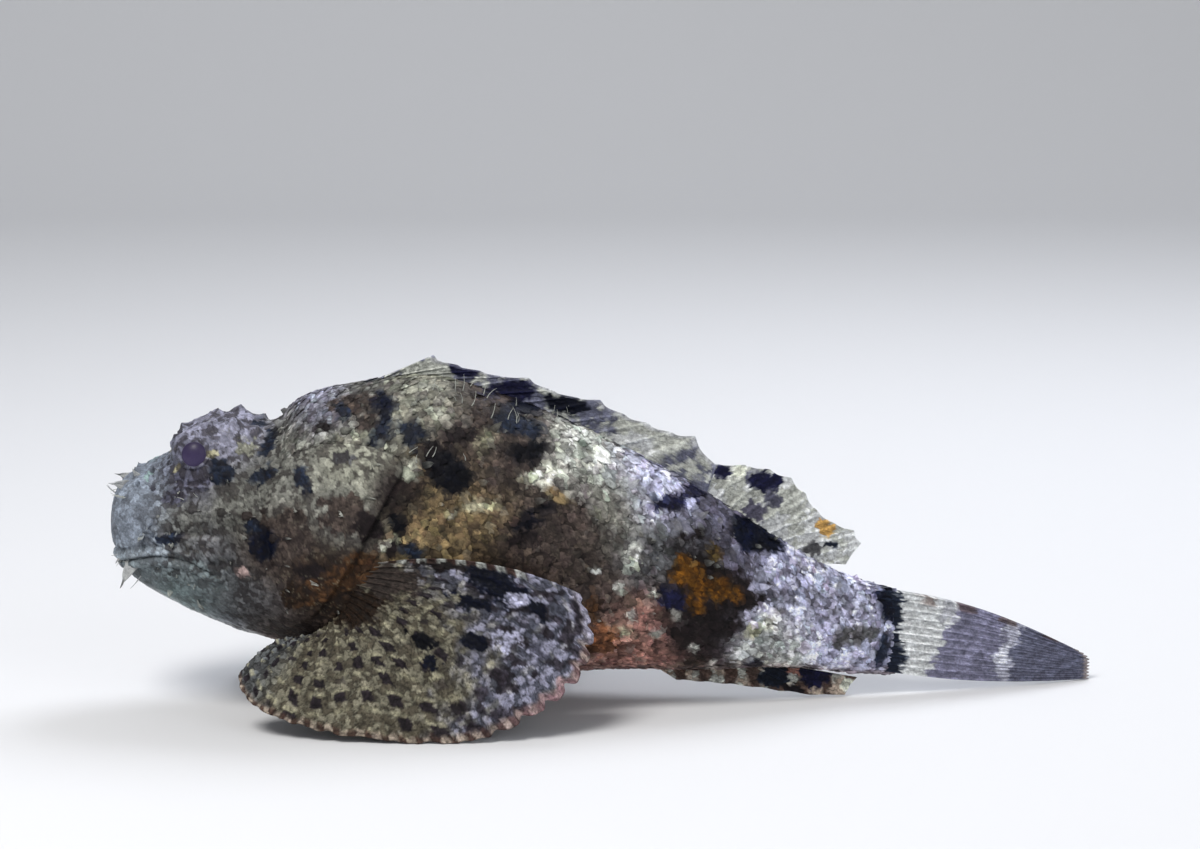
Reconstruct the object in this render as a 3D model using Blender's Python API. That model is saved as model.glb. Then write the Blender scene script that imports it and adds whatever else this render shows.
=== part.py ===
"""Spotted scorpionfish at rest on the bottom: head, jaw, gill covers, trunk, tail stalk, eyes and fins.

The fish faces -X and its left side faces -Y. +Z is up and the floor is at z = 0. All sizes here are in
millimetres, and every mesh is scaled to metres as it is made.
"""

import math

import bmesh
import bpy
import numpy as np
from mathutils import Matrix, Vector

MM = 0.001
GAP = 0.3            # clearance kept between neighbouring solids
LEFT, RIGHT = -1, 1  # sign of y on each side

# Trunk and head: sections from the snout to the end of the tail stalk.
SNOUT_X = -130.5
SNOUT_Z = 50.0
STALK_END_X = 80.0
#          x,    top, bottom, half width, height of the widest point
SECTIONS = (
    (-127.4, 60.2, 38.4, 10.5, 48.0),
    (-122.0, 64.2, 33.0, 14.0, 46.5),
    (-115.0, 68.6, 29.0, 16.8, 44.5),
    (-106.0, 76.2, 24.6, 19.6, 43.0),
    (-96.0, 77.8, 20.8, 22.8, 42.0),
    (-88.0, 76.4, 18.8, 25.0, 42.0),
    (-80.5, 82.2, 16.2, 26.4, 42.0),
    (-62.0, 87.3, 10.4, 27.6, 42.0),
    (-47.0, 89.4, 7.4, 26.8, 41.0),
    (-26.0, 84.0, 6.6, 24.6, 38.0),
    (0.0, 73.2, 9.2, 20.2, 35.0),
    (26.0, 58.8, 8.8, 14.6, 31.0),
    (50.0, 43.2, 8.6, 9.2, 24.5),
    (66.0, 33.8, 6.6, 5.8, 20.0),
    (74.5, 30.6, 5.6, 3.8, 18.2),
    (80.0, 29.2, 5.4, 1.0, 17.4),
)
UPPER_SQUARENESS = 2.15  # superellipse power of a section above its widest point
LOWER_SQUARENESS = 2.35
RINGS = 36
SIDES = 28

# The tail swings gently to the right of the fish, which is +Y.
BEND_START_X = 10.0
BEND_RATE = 0.0015

# Swellings and hollows of the head and trunk, seen from the side:
#  x, z, half length, half height, turn in degrees, height out of the surface
SWELLINGS = (
    (-106.6, 69.6, 9.0, 7.5, 0, 1.6),      # orbit
    (-119.0, 61.5, 4.5, 4.0, 35, -1.0),    # hollow before the eye
    (-101.0, 55.5, 16.0, 2.8, 6, 1.8),     # bony ridge under the eye
    (-104.0, 61.5, 9.0, 2.6, 4, -1.0),     # hollow between eye and ridge
    (-104.0, 34.0, 9.0, 5.0, -20, 0.8),    # side of the lower jaw
    (-93.0, 45.0, 7.0, 6.0, 0, 0.9),       # cheek
    (-68.0, 52.0, 12.0, 14.0, 0, 1.4),     # gill cover
    (-52.0, 55.0, 5.0, 12.0, -15, -1.0),   # hollow behind the gill cover
    (-92.0, 66.0, 7.0, 4.0, -10, -0.9),    # temple
)
CROWN_RIDGE_Y = 9.2       # the two bony ridges over the eyes
CROWN_RIDGE_SPREAD = 3.6
CROWN_RIDGE_RISE = 2.2
CROWN_GROOVE_DEPTH = 3.4  # hollow between them
CROWN_GROOVE_SPREAD = 5.0
CROWN_X, CROWN_REACH = -102.0, 12.0

EYE_X, EYE_Z = -106.4, 69.8
EYE_RADIUS = 5.7
EYE_SUNK = 4.3            # from the skin in to the eye's centre
ORBIT_RADIUS = 6.9        # the dome of skin about the eye
ORBIT_BLEND = 9           # higher is a sharper edge between the dome and the head
LID_OPENING = 4.0         # radius of the opening between the lids
LID_RIM = 0.85

# Line of the mouth, from the front of the snout back to its corner, and the back of the lower jaw.
MOUTH_LINE = (
    (-134.0, 39.8), (-128.0, 40.2), (-121.5, 42.0), (-115.0, 43.2), (-108.0, 42.2), (-100.5, 38.6),
)
JAW_BACK = ((-97.0, 31.0), (-94.0, 13.0))
LIP_RADIUS = 1.25
LIP_APART = 1.3           # from the line of the mouth to the middle of each lip
MAXILLA_X, MAXILLA_Z = -107.5, 46.6
MAXILLA_SIZE = (11.0, 1.5, 3.1)
MAXILLA_FLARE = 0.4        # how much deeper its hind end is
MAXILLA_TURN = -7.0

# Nostrils, two on each side before the eye: x, z, radius of the opening
NOSTRILS = ((-118.4, 64.2, 0.95), (-122.2, 60.8, 0.75))
NOSTRIL_DEPTH = 1.5
NOSTRIL_RIM = 0.42

NECK_TOP_X, NECK_BOTTOM_X = -72.0, -80.0
STALK_START_X = 56.0

# Gill cover, as seen from the side.
COVER_MIDDLE = (-70.5, 50.5)
COVER_OUTLINE = (
    (-86.0, 65.0), (-73.0, 73.0), (-60.0, 73.0), (-51.5, 68.6), (-55.5, 60.0), (-61.0, 50.0),
    (-67.0, 39.5), (-75.0, 28.5), (-83.0, 23.5), (-88.5, 31.0), (-88.0, 48.0),
)
COVER_OUT, COVER_IN = 0.9, 2.2

# Pectoral fin: a fan of thick rays from a slanting root, its rim resting on the floor.
PECTORAL_RAYS = 19
PECTORAL_ROOT_LOW = (-76.0, 20.5)
PECTORAL_ROOT_HIGH = (-55.0, 44.0)
PECTORAL_MIDDLE = (-48.0, -29.5)     # centre of the rim in plan
PECTORAL_REACH = (46.0, 14.5)        # half length and half depth of the rim in plan
PECTORAL_SWEEP = 1.12                # turn of the rim from its first ray to its last, in half circles
PECTORAL_FRONT_LIFT = 14.5
PECTORAL_REAR_LIFT = 36.0
PECTORAL_TOUCH = 0.52                # share along the rim that touches the floor
PECTORAL_ARCH = 8.5

# Dorsal fin, folded back.
DORSAL_SPINES = 12
DORSAL_FRONT_X, DORSAL_REAR_X = -57.5, 12.0
DORSAL_RUN = 13.2
DORSAL_RISE_FRONT, DORSAL_RISE_REAR = 3.4, 11.4
DORSAL_PROUD_SPINES = (0, 4, 7, 11)  # these stand a little above their neighbours
DORSAL_PROUD = 1.5
DORSAL_HIND_RISE = 6.2
DORSAL_HIND_LEAN = 1.5               # how far the last tip reaches past the foot of the soft rays
SOFT_RAYS = 10
SOFT_BASE = (27.6, 60.0)
SOFT_EDGE = (
    (0.0, 30.8, 64.6), (0.12, 39.0, 64.2), (0.3, 49.5, 61.4), (0.6, 59.5, 49.8), (0.9, 70.0, 41.6),
    (1.0, 66.0, 36.4),
)

# Anal fin, folded back with its hind lobe on the floor.
ANAL_SPINES, ANAL_RAYS = 3, 5
ANAL_BASE = (15.5, 53.0)
ANAL_EDGE = (
    (0.0, 20.5, 5.6), (0.25, 31.0, 4.6), (0.5, 44.0, 2.8), (0.7, 56.0, 0.7), (0.82, 62.0, 0.0),
    (0.92, 66.0, 0.0), (1.0, 68.0, 4.2),
)

# Tail fin, half closed.
CAUDAL_RAYS = 11
CAUDAL_ROOT_X = 73.0
CAUDAL_ROOT_Z = (7.4, 29.6)
CAUDAL_END_X = 135.0
CAUDAL_END_Z = (0.0, 9.2)
CAUDAL_BOW = (-1.6, 3.4)            # how far the lower and the upper edge bow

# Pelvic fins, spread on the floor under the breast.
PELVIC_RAYS = 6
PELVIC_ROOT_X = (-68.0, -60.0)
PELVIC_ROOT_Y = (11.5, 6.0)
PELVIC_TIP_FRONT = (-48.0, 33.0)
PELVIC_TIP_REAR = (-25.0, 9.0)

COLOURS = {
    "head_skin": (0.36, 0.37, 0.37),
    "jaw_skin": (0.40, 0.44, 0.45),
    "cover_skin": (0.40, 0.39, 0.36),
    "body_skin": (0.42, 0.40, 0.38),
    "stalk_skin": (0.52, 0.52, 0.62),
    "fin_skin": (0.36, 0.35, 0.34),
    "pale_fin_skin": (0.56, 0.57, 0.60),
    "eye": (0.10, 0.08, 0.14),
}


def smooth_curve(knots_x, knots_y, x):
    """Values at x of the smooth curve through the knots: cubic pieces with averaged slopes."""
    kx, ky = np.asarray(knots_x, float), np.asarray(knots_y, float)
    slopes = np.gradient(ky, kx)
    x = np.clip(x, kx[0], kx[-1])
    i = np.clip(np.searchsorted(kx, x, side="right") - 1, 0, len(kx) - 2)
    width = kx[i + 1] - kx[i]
    t = (x - kx[i]) / width
    start, end = ky[i], ky[i + 1]
    return (
        (2 * t**3 - 3 * t**2 + 1) * start
        + (t**3 - 2 * t**2 + t) * width * slopes[i]
        + (3 * t**2 - 2 * t**3) * end
        + (t**3 - t**2) * width * slopes[i + 1]
    )


def sections_at(x):
    """Top, bottom, half width and widest height at x. Distance enters as a root, so the snout is round."""
    table = np.array(SECTIONS)
    distance = np.sqrt(np.concatenate([[0.0], table[:, 0] - SNOUT_X]))
    here = np.sqrt(np.maximum(np.asarray(x, float) - SNOUT_X, 0.0))
    tip = (SNOUT_Z, SNOUT_Z, 0.0, SNOUT_Z)
    return [
        smooth_curve(distance, np.concatenate([[tip[k]], table[:, k + 1]]), here) for k in range(4)
    ]


def swelling_at(x, z):
    total = np.zeros(np.broadcast(x, z).shape)
    for cx, cz, length, height, turn, rise in SWELLINGS:
        c, s = math.cos(math.radians(turn)), math.sin(math.radians(turn))
        along = ((x - cx) * c + (z - cz) * s) / length
        across = ((z - cz) * c - (x - cx) * s) / height
        total = total + rise * np.exp(-(along**2) - across**2)
    return total


def crown_at(x, y):
    """Rise of the two ridges over the eyes and fall of the groove between them."""
    reach = np.exp(-(((x - CROWN_X) / CROWN_REACH) ** 4))
    ridge = CROWN_RIDGE_RISE * np.exp(-(((np.abs(y) - CROWN_RIDGE_Y) / CROWN_RIDGE_SPREAD) ** 2))
    groove = CROWN_GROOVE_DEPTH * np.exp(-((y / CROWN_GROOVE_SPREAD) ** 2))
    return reach * (ridge - groove)


def bent(points):
    """Carries points of the straight fish to the fish with its tail swung aside."""
    points = np.array(points, float)
    over = np.maximum(points[..., 0] - BEND_START_X, 0.0)
    turn = np.arctan(2 * BEND_RATE * over)
    offset = points[..., 1].copy()
    points[..., 0] = points[..., 0] - offset * np.sin(turn)
    points[..., 1] = BEND_RATE * over**2 + offset * np.cos(turn)
    return points


def body_surface(x, angle, grow=0.0):
    """Points of the straight body. The angle runs from the back, round the left side, to the belly."""
    top, bottom, half_width, widest = sections_at(x)
    top, bottom, half_width = top + grow, bottom - grow, half_width + grow
    up, side = np.cos(angle), np.sin(angle)
    power = np.where(up > 0, UPPER_SQUARENESS, LOWER_SQUARENESS)
    rise = np.abs(up) ** (2 / power)
    spread = np.abs(side) ** (2 / power)
    z = widest + np.where(up > 0, top - widest, bottom - widest) * rise
    y = half_width * spread + swelling_at(x, z) * np.sqrt(spread)
    z = z + np.where(up > 0, crown_at(x, y), 0.0)
    return np.stack([x + 0 * y, -np.sign(side) * y, z], -1)


def flank(x, z, side):
    """Point of the straight body's side at that place of the side view."""
    top, bottom, half_width, widest = sections_at(x)
    upper = z > widest
    power = np.where(upper, UPPER_SQUARENESS, LOWER_SQUARENESS)
    share = np.where(upper, (z - widest) / (top - widest), (widest - z) / (widest - bottom)).clip(0, 1)
    spread = (1 - share**power) ** (1 / power)
    out = half_width * spread + swelling_at(x, z) * np.sqrt(spread)
    return np.stack([x + 0 * spread, side * out, z + 0 * spread], -1)


def flank_normal(x, z, side):
    step = 0.6
    along = flank(x + step, z, side) - flank(x - step, z, side)
    up = flank(x, z + step, side) - flank(x, z - step, side)
    normal = np.cross(along, up) * -side
    return normal / np.linalg.norm(normal, axis=-1, keepdims=True)


def back_height(x):
    return float(sections_at(x)[0])


def belly_height(x):
    return float(sections_at(x)[1])


def material(name):
    made = bpy.data.materials.get(name)
    if made is None:
        made = bpy.data.materials.new(name)
        made.use_nodes = True
        shader = made.node_tree.nodes["Principled BSDF"]
        shader.inputs["Base Color"].default_value = (*COLOURS[name], 1.0)
        shader.inputs["Roughness"].default_value = 0.15 if name == "eye" else 0.55
        shader.inputs["Metallic"].default_value = 0.0
        made.diffuse_color = (*COLOURS[name], 1.0)
    return made


def add_object(name, mesh, collection):
    made = bpy.data.objects.new(name, mesh)
    collection.objects.link(made)
    return made


def add_mesh(name, points, faces, collection, bend=True):
    """An object from points in millimetres."""
    points = bent(points) if bend else np.array(points, float)
    mesh = bpy.data.meshes.new(name)
    corners = [tuple(p * MM) for p in points.reshape(-1, 3)]
    mesh.from_pydata(corners, [], [tuple(map(int, face)) for face in faces])
    return add_object(name, mesh, collection)


def outward(obj):
    """Turns the faces of a closed mesh outwards."""
    work = bmesh.new()
    work.from_mesh(obj.data)
    bmesh.ops.recalc_face_normals(work, faces=work.faces)
    work.to_mesh(obj.data)
    work.free()
    return obj


def eye_frame(side):
    """Centre of the eye and the way it looks: out, a little up and forward."""
    look = np.array([-0.12, side * 1.0, 0.18])
    look /= np.linalg.norm(look)
    return flank(EYE_X, EYE_Z, side) - look * EYE_SUNK, look


def with_orbits(points, grow=0.0):
    """Pushes points near an eye out to the dome of skin about it."""
    radius = ORBIT_RADIUS + grow
    for side in (LEFT, RIGHT):
        centre, _ = eye_frame(side)
        away = points - centre
        distance = np.linalg.norm(away, axis=-1, keepdims=True)
        pushed = (distance**ORBIT_BLEND + radius**ORBIT_BLEND) ** (1 / ORBIT_BLEND)
        points = centre + away * pushed / np.maximum(distance, 1e-6)
    return points


def body_mesh(name, collection, grow=0.0, rings=RINGS, sides=SIDES):
    """The whole body as one closed loft, with a point at the snout and a cap at the tail stalk's end."""
    reach = math.sqrt(STALK_END_X - SNOUT_X)
    x = SNOUT_X + (reach * np.arange(1, rings) / (rings - 1)) ** 2
    angle = 2 * math.pi * np.arange(sides) / sides
    grid = with_orbits(body_surface(x[:, None], angle[None, :], grow), grow)
    ends = [[[SNOUT_X - grow, 0.0, SNOUT_Z]], [[STALK_END_X + grow + 0.6, 0.0, 17.6]]]
    points = np.vstack([ends[0], grid.reshape(-1, 3), ends[1]])
    last = len(points) - 1
    faces = []
    for i in range(sides):
        j = (i + 1) % sides
        faces.append((0, 1 + i, 1 + j))
        end = 1 + (rings - 2) * sides
        faces.append((last, end + j, end + i))
        for ring in range(rings - 2):
            a, b = 1 + ring * sides, 1 + (ring + 1) * sides
            faces += [(a + i, b + i, b + j), (a + i, b + j, a + j)]
    return outward(add_mesh(name, points, faces, collection))


def sheet(name, centre, half, collection, upper_floor=0.55):
    """A thin closed piece about a grid of centre points, both faces split into the same triangles.

    Nothing of it goes below the floor: the lower face rests on it and the upper one stays above.
    """
    centre = bent(centre)
    across = np.gradient(centre, axis=0)
    along = np.gradient(centre, axis=1)
    normal = np.cross(across, along)
    normal /= np.linalg.norm(normal, axis=-1, keepdims=True)
    front = centre + normal * half[..., None]
    back = centre - normal * half[..., None]
    tilt = np.abs(normal[..., 2]) > 0.3
    lower_is_front = front[..., 2] < back[..., 2]
    front_floor = np.where(tilt & ~lower_is_front, upper_floor, 0.0)
    back_floor = np.where(tilt & lower_is_front, upper_floor, 0.0)
    front[..., 2] = np.maximum(front[..., 2], front_floor)
    back[..., 2] = np.maximum(back[..., 2], back_floor)
    columns, rows = centre.shape[:2]
    count = columns * rows
    index = np.arange(count).reshape(columns, rows)
    faces = []
    for i in range(columns - 1):
        for j in range(rows - 1):
            a, b, c, d = index[i, j], index[i + 1, j], index[i + 1, j + 1], index[i, j + 1]
            for triangle in ((a, b, c), (a, c, d)):
                faces.append(triangle)
                faces.append(tuple(v + count for v in reversed(triangle)))
    rim = list(index[:, 0]) + list(index[-1, 1:]) + list(index[-2::-1, -1]) + list(index[0, -2:0:-1])
    for a, b in zip(rim, rim[1:] + rim[:1]):
        faces += [(b, a, a + count), (b, a + count, b + count)]
    points = np.concatenate([front.reshape(-1, 3), back.reshape(-1, 3)])
    return outward(add_mesh(name, points, faces, collection, bend=False))


def ray_columns(rays, width):
    """Columns across a fin: the crest of each ray, both its feet if it has a width, and mid membrane.

    Each entry is (place in ray counts, crest share 0 to 1, membrane share 0 to 1).
    """
    columns = []
    for k in range(rays):
        if k > 0:
            columns.append((k - 0.5, 0.0, 1.0))
            if width:
                columns.append((k - width, 0.0, 0.3))
        columns.append((float(k), 1.0, 0.0))
        if width and k < rays - 1:
            columns.append((k + width, 0.0, 0.3))
    return columns


def evaluated(obj):
    graph = bpy.context.evaluated_depsgraph_get()
    return bpy.data.meshes.new_from_object(obj.evaluated_get(graph))


def keep_largest(obj):
    """Keeps the closed surface that holds most, so that no scrap or sealed hollow stays."""
    work = bmesh.new()
    work.from_mesh(obj.data)
    bmesh.ops.remove_doubles(work, verts=work.verts, dist=2e-6)
    bmesh.ops.dissolve_degenerate(work, edges=work.edges, dist=1e-6)
    bmesh.ops.triangulate(work, faces=work.faces)
    unseen = set(work.faces)
    islands = []
    while unseen:
        front = [unseen.pop()]
        island = list(front)
        while front:
            face = front.pop()
            for edge in face.edges:
                for other in edge.link_faces:
                    if other in unseen:
                        unseen.remove(other)
                        front.append(other)
                        island.append(other)
        volume = sum(f.verts[0].co.dot(f.verts[1].co.cross(f.verts[2].co)) for f in island) / 6
        islands.append((volume, island))
    islands.sort(key=lambda pair: pair[0])
    scraps = [face for _, island in islands[:-1] for face in island]
    bmesh.ops.delete(work, geom=scraps, context="FACES")
    loose = [v for v in work.verts if not v.link_faces]
    bmesh.ops.delete(work, geom=loose, context="VERTS")
    work.to_mesh(obj.data)
    work.free()
    return obj


def boolean(obj, others, operation, solver="MANIFOLD"):
    """Applies one Boolean of a collection of closed meshes to the object, then removes the collection."""
    group = bpy.data.collections.new("operands")
    bpy.context.scene.collection.children.link(group)
    for other in others:
        for home in list(other.users_collection):
            home.objects.unlink(other)
        group.objects.link(other)
    modifier = obj.modifiers.new("join", "BOOLEAN")
    modifier.operation = operation
    modifier.solver = solver
    modifier.operand_type = "COLLECTION"
    modifier.collection = group
    bpy.context.view_layer.update()
    mesh = evaluated(obj)
    obj.modifiers.clear()
    obj.data = mesh
    for other in list(group.objects):
        bpy.data.objects.remove(other)
    bpy.data.collections.remove(group)
    return keep_largest(obj)


def copy_of(obj, name, collection):
    return add_object(name, obj.data.copy(), collection)


def prism(name, outline, collection, half_depth=70.0):
    """A closed block whose side view is the outline, across the whole fish."""
    work = bmesh.new()
    near = [work.verts.new((x * MM, -half_depth * MM, z * MM)) for x, z in outline]
    face = work.faces.new(near)
    pushed = bmesh.ops.extrude_face_region(work, geom=[face])
    moved = [v for v in pushed["geom"] if isinstance(v, bmesh.types.BMVert)]
    bmesh.ops.translate(work, verts=moved, vec=(0.0, 2 * half_depth * MM, 0.0))
    bmesh.ops.recalc_face_normals(work, faces=work.faces)
    mesh = bpy.data.meshes.new(name)
    work.to_mesh(mesh)
    work.free()
    return add_object(name, mesh, collection)


def frame_at(point, direction):
    """A placement in metres with its local Z along the direction."""
    turn = Vector(direction).to_track_quat("Z", "Y").to_matrix().to_4x4()
    return Matrix.Translation(Vector(point) * MM) @ turn


def spike(name, point, direction, length, radius, collection, sunk=1.6, sides=5, blunt=0.12):
    """A tapering spine set on the skin, its root sunk in."""
    work = bmesh.new()
    bmesh.ops.create_cone(
        work, cap_ends=True, cap_tris=True, segments=sides,
        radius1=radius * MM, radius2=blunt * radius * MM, depth=(length + sunk) * MM,
    )
    direction = np.array(direction, float) / np.linalg.norm(direction)
    middle = np.array(point, float) + direction * (length - sunk) / 2
    work.transform(frame_at(middle, direction))
    mesh = bpy.data.meshes.new(name)
    work.to_mesh(mesh)
    work.free()
    return add_object(name, mesh, collection)


def tassel(name, point, direction, broad, length, width, collection, droop=0.0, sunk=1.4):
    """A flat tapering skin flap: a thin leaf that widens, then narrows to its tip and bends a little."""
    direction = np.array(direction, float) / np.linalg.norm(direction)
    broad = np.array(broad, float)
    broad -= direction * broad.dot(direction)
    broad /= np.linalg.norm(broad)
    thin = np.cross(direction, broad)
    shares = (-sunk / length, 0.55, 1.0)
    widths = (0.7, 1.0, 0.35)
    points, faces = [], []
    for share, wide in zip(shares, widths):
        centre = np.array(point, float) + direction * share * length + thin * droop * max(share, 0.0) ** 2
        half, thick = width * wide / 2, (0.42 if share < 1 else 0.14) * min(1.0, width / 1.6 + 0.3)
        sides = (broad * half, thin * thick, -broad * half, -thin * thick)
        points += [centre + reach for reach in sides]
    for ring in range(len(shares) - 1):
        for k in range(4):
            a, b = ring * 4 + k, ring * 4 + (k + 1) % 4
            faces += [(a, b, b + 4), (a, b + 4, a + 4)]
    end = (len(shares) - 1) * 4
    faces += [(0, 2, 1), (0, 3, 2), (end, end + 1, end + 2), (end, end + 2, end + 3)]
    return outward(add_mesh(name, points, faces, collection, bend=False))


def on_skin(x, z, side):
    """Place and outward direction on the bent fish's side."""
    here, normal = with_orbits(flank(x, z, side)), flank_normal(x, z, side)
    place, ahead = bent(np.stack([here, here + normal]))
    return place, ahead - place


def tube(name, points, radii, collection, sides=6):
    """A closed bead swept along the points, round in section."""
    points = np.array(points, float)
    along = np.gradient(points, axis=0)
    along /= np.linalg.norm(along, axis=1, keepdims=True)
    upright = np.array([0.0, 0.0, 1.0])
    across = np.cross(along, upright)
    across /= np.linalg.norm(across, axis=1, keepdims=True)
    over = np.cross(across, along)
    turn = 2 * math.pi * np.arange(sides) / sides
    rings = points[:, None] + radii[:, None, None] * (
        across[:, None] * np.cos(turn)[None, :, None] + over[:, None] * np.sin(turn)[None, :, None]
    )
    count = len(points)
    faces = []
    for ring in range(count - 1):
        for k in range(sides):
            a, b = ring * sides + k, ring * sides + (k + 1) % sides
            faces += [(a, b, b + sides), (a, b + sides, a + sides)]
    for k in range(sides):
        m = (k + 1) % sides
        faces.append((count * sides, m, k))
        faces.append((count * sides + 1, (count - 1) * sides + k, (count - 1) * sides + m))
    ends = np.vstack([points[0] - along[0] * radii[0] * 0.6, points[-1] + along[-1] * radii[-1] * 0.6])
    return outward(add_mesh(name, np.vstack([rings.reshape(-1, 3), ends]), faces, collection))


def mouth_height(x):
    line = np.array(MOUTH_LINE)
    return smooth_curve(line[:, 0], line[:, 1], x)


def lips(collection):
    """Upper and lower lip: beads along the line of the mouth, from corner to corner round the snout."""
    made = []
    corner = MOUTH_LINE[-1][0] - 1.0
    search = np.linspace(SNOUT_X + 0.05, corner, 400)
    for name, offset in (("upper_lip", LIP_APART), ("lower_lip", -LIP_APART)):
        inside = sections_at(search)[1] < mouth_height(search) + offset
        front = float(search[int(np.argmax(inside))])
        x = front + (corner - front) * (np.arange(9, -1, -1) / 9) ** 2
        z = mouth_height(x) + offset
        near = flank(x, z, LEFT)
        near[-1, 1] = 0.0
        line = np.vstack([near, near[-2::-1] * np.array([1, -1, 1])])
        taper = np.sin(math.pi * np.linspace(0.04, 0.96, len(line))) ** 0.5
        made.append(tube(name, line, LIP_RADIUS * taper, collection))
    return made


def maxilla(side, collection):
    """The flat bone over the corner of the mouth."""
    work = bmesh.new()
    bmesh.ops.create_uvsphere(work, u_segments=12, v_segments=6, radius=1.0)
    for vertex in work.verts:
        vertex.co.z *= 1.0 + MAXILLA_FLARE * vertex.co.x
    place, normal = on_skin(MAXILLA_X, MAXILLA_Z, side)
    turn = Matrix.Rotation(math.radians(-MAXILLA_TURN), 4, "Y")
    yaw = Matrix.Rotation(math.atan2(-side * normal[0], abs(normal[1])), 4, "Z")
    size = Matrix.Diagonal(Vector((*MAXILLA_SIZE, 1.0))) * MM
    size[3][3] = 1.0
    work.transform(Matrix.Translation(Vector(place) * MM) @ yaw @ turn @ size)
    mesh = bpy.data.meshes.new("maxilla")
    work.to_mesh(mesh)
    work.free()
    return add_object("maxilla", mesh, collection)


def ball(name, centre, radius, collection, segments=18, rings=10):
    work = bmesh.new()
    bmesh.ops.create_uvsphere(work, u_segments=segments, v_segments=rings, radius=radius * MM)
    work.transform(Matrix.Translation(Vector(centre) * MM))
    mesh = bpy.data.meshes.new(name)
    work.to_mesh(mesh)
    work.free()
    return add_object(name, mesh, collection)


def raised_ring(centre, direction, radius, thickness, collection, segments, sides):
    """A round bead of skin lying about an opening."""
    bpy.ops.mesh.primitive_torus_add(
        major_segments=segments, minor_segments=sides,
        major_radius=radius * MM, minor_radius=thickness * MM,
    )
    made = bpy.context.object
    made.data.transform(frame_at(centre, direction))
    for home in list(made.users_collection):
        home.objects.unlink(made)
    collection.objects.link(made)
    return made


def lid_rim(side, collection):
    """The thick edge of the skin round the opening for the eye."""
    centre, look = eye_frame(side)
    out = math.sqrt(ORBIT_RADIUS**2 - LID_OPENING**2)
    return raised_ring(
        centre + look * (out - 0.4), look, LID_OPENING + LID_RIM * 0.6, LID_RIM, collection, 16, 5,
    )


def nostril_rims(side, collection):
    made = []
    for x, z, radius in NOSTRILS:
        place, normal = on_skin(x, z, side)
        made.append(raised_ring(place, normal, radius + NOSTRIL_RIM * 0.5, NOSTRIL_RIM, collection, 8, 4))
    return made


def nostril_pits(side, collection):
    made = []
    for x, z, radius in NOSTRILS:
        place, normal = on_skin(x, z, side)
        pit = spike("pit", place, normal, 3.0, radius, collection, sunk=NOSTRIL_DEPTH, sides=8, blunt=1.0)
        made.append(pit)
    return made


def lid_opening(side, collection):
    centre, look = eye_frame(side)
    return spike("opening", centre, look, 12.0, LID_OPENING, collection, sunk=0.0, sides=18, blunt=1.0)


# Spines along the crown ridge, on each side: x, length, root radius, direction (x, out, z)
CROWN_SPINES = (
    (-118.0, 1.8, 1.0, (-0.4, 0.1, 1.0)),
    (-112.0, 1.8, 1.5, (-0.1, 0.3, 1.0)),
    (-103.5, 1.6, 1.4, (0.4, 0.2, 1.0)),
    (-97.3, 1.7, 1.5, (0.3, 0.15, 1.0)),
    (-91.0, 2.0, 1.4, (0.8, 0.15, 1.0)),
    (-84.0, 2.2, 1.2, (1.0, 0.1, 0.8)),
)
# Spines of the cheek and the gill cover: x, z, length, root radius, direction (x, out, z)
CHEEK_SPINES = (
    (-106.0, 56.2, 2.2, 1.0, (1.0, 0.9, 0.1)),
    (-98.0, 56.0, 2.8, 1.1, (1.0, 0.9, 0.1)),
    (-91.5, 55.4, 3.0, 1.2, (1.0, 0.8, 0.1)),
    (-113.0, 50.8, 2.6, 1.0, (0.1, 0.8, -1.0)),
    (-118.5, 51.6, 2.2, 0.9, (-0.5, 0.8, -0.9)),
)
COVER_SPINES = (
    (-84.0, 50.0, 5.0, 1.5, (1.0, 0.75, 0.1)),
    (-83.5, 43.5, 3.6, 1.3, (0.9, 0.8, -0.2)),
    (-83.0, 37.5, 3.0, 1.2, (0.7, 0.8, -0.5)),
    (-82.5, 32.0, 2.4, 1.1, (0.4, 0.8, -0.9)),
    (-60.5, 68.8, 4.0, 1.3, (1.0, 0.45, 0.15)),
    (-62.0, 61.5, 4.0, 1.3, (1.0, 0.45, -0.25)),
)

# Skin flaps, on each side: x, z, length, width, direction (x, out, z)
HEAD_FLAPS = (
    (-127.2, 58.4, 5.0, 2.2, (-1.0, 0.3, 0.35)),
    (-122.5, 63.0, 3.4, 1.8, (-0.7, 0.3, 0.9)),
    (-120.5, 48.5, 4.0, 1.8, (-0.3, 0.8, -0.8)),
    (-112.5, 47.8, 4.4, 2.0, (0.2, 0.8, -0.9)),
    (-105.0, 74.6, 4.6, 1.8, (0.4, 0.5, 1.0)),
    (-97.5, 63.5, 3.0, 1.6, (0.6, 0.9, 0.2)),
    (-93.5, 50.0, 3.6, 1.7, (0.6, 0.9, -0.2)),
    (-84.0, 76.0, 3.4, 1.7, (0.8, 0.5, 0.8)),
)
JAW_FLAPS = (
    (-126.2, 38.6, 6.6, 2.3, (-0.7, 0.25, -1.0)),
    (-121.0, 34.8, 4.8, 1.5, (-0.6, 0.3, -1.0)),
    (-113.5, 33.5, 3.6, 1.7, (0.1, 0.8, -0.8)),
    (-106.0, 31.0, 3.6, 1.7, (0.3, 0.8, -0.7)),
)
COVER_FLAPS = (
    (-80.0, 57.5, 3.2, 1.7, (0.8, 0.8, 0.1)),
    (-76.0, 39.0, 3.6, 1.8, (0.7, 0.8, -0.4)),
    (-68.0, 57.0, 3.0, 1.6, (0.9, 0.7, -0.1)),
)
LATERAL_LINE = ((-50.0, 70.0), (-20.0, 60.0), (20.0, 44.0), (52.0, 28.0))
LATERAL_FLAPS = 7
BACK_FLAPS = 5
FLAP_LENGTH, FLAP_WIDTH = 3.4, 2.3


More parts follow.
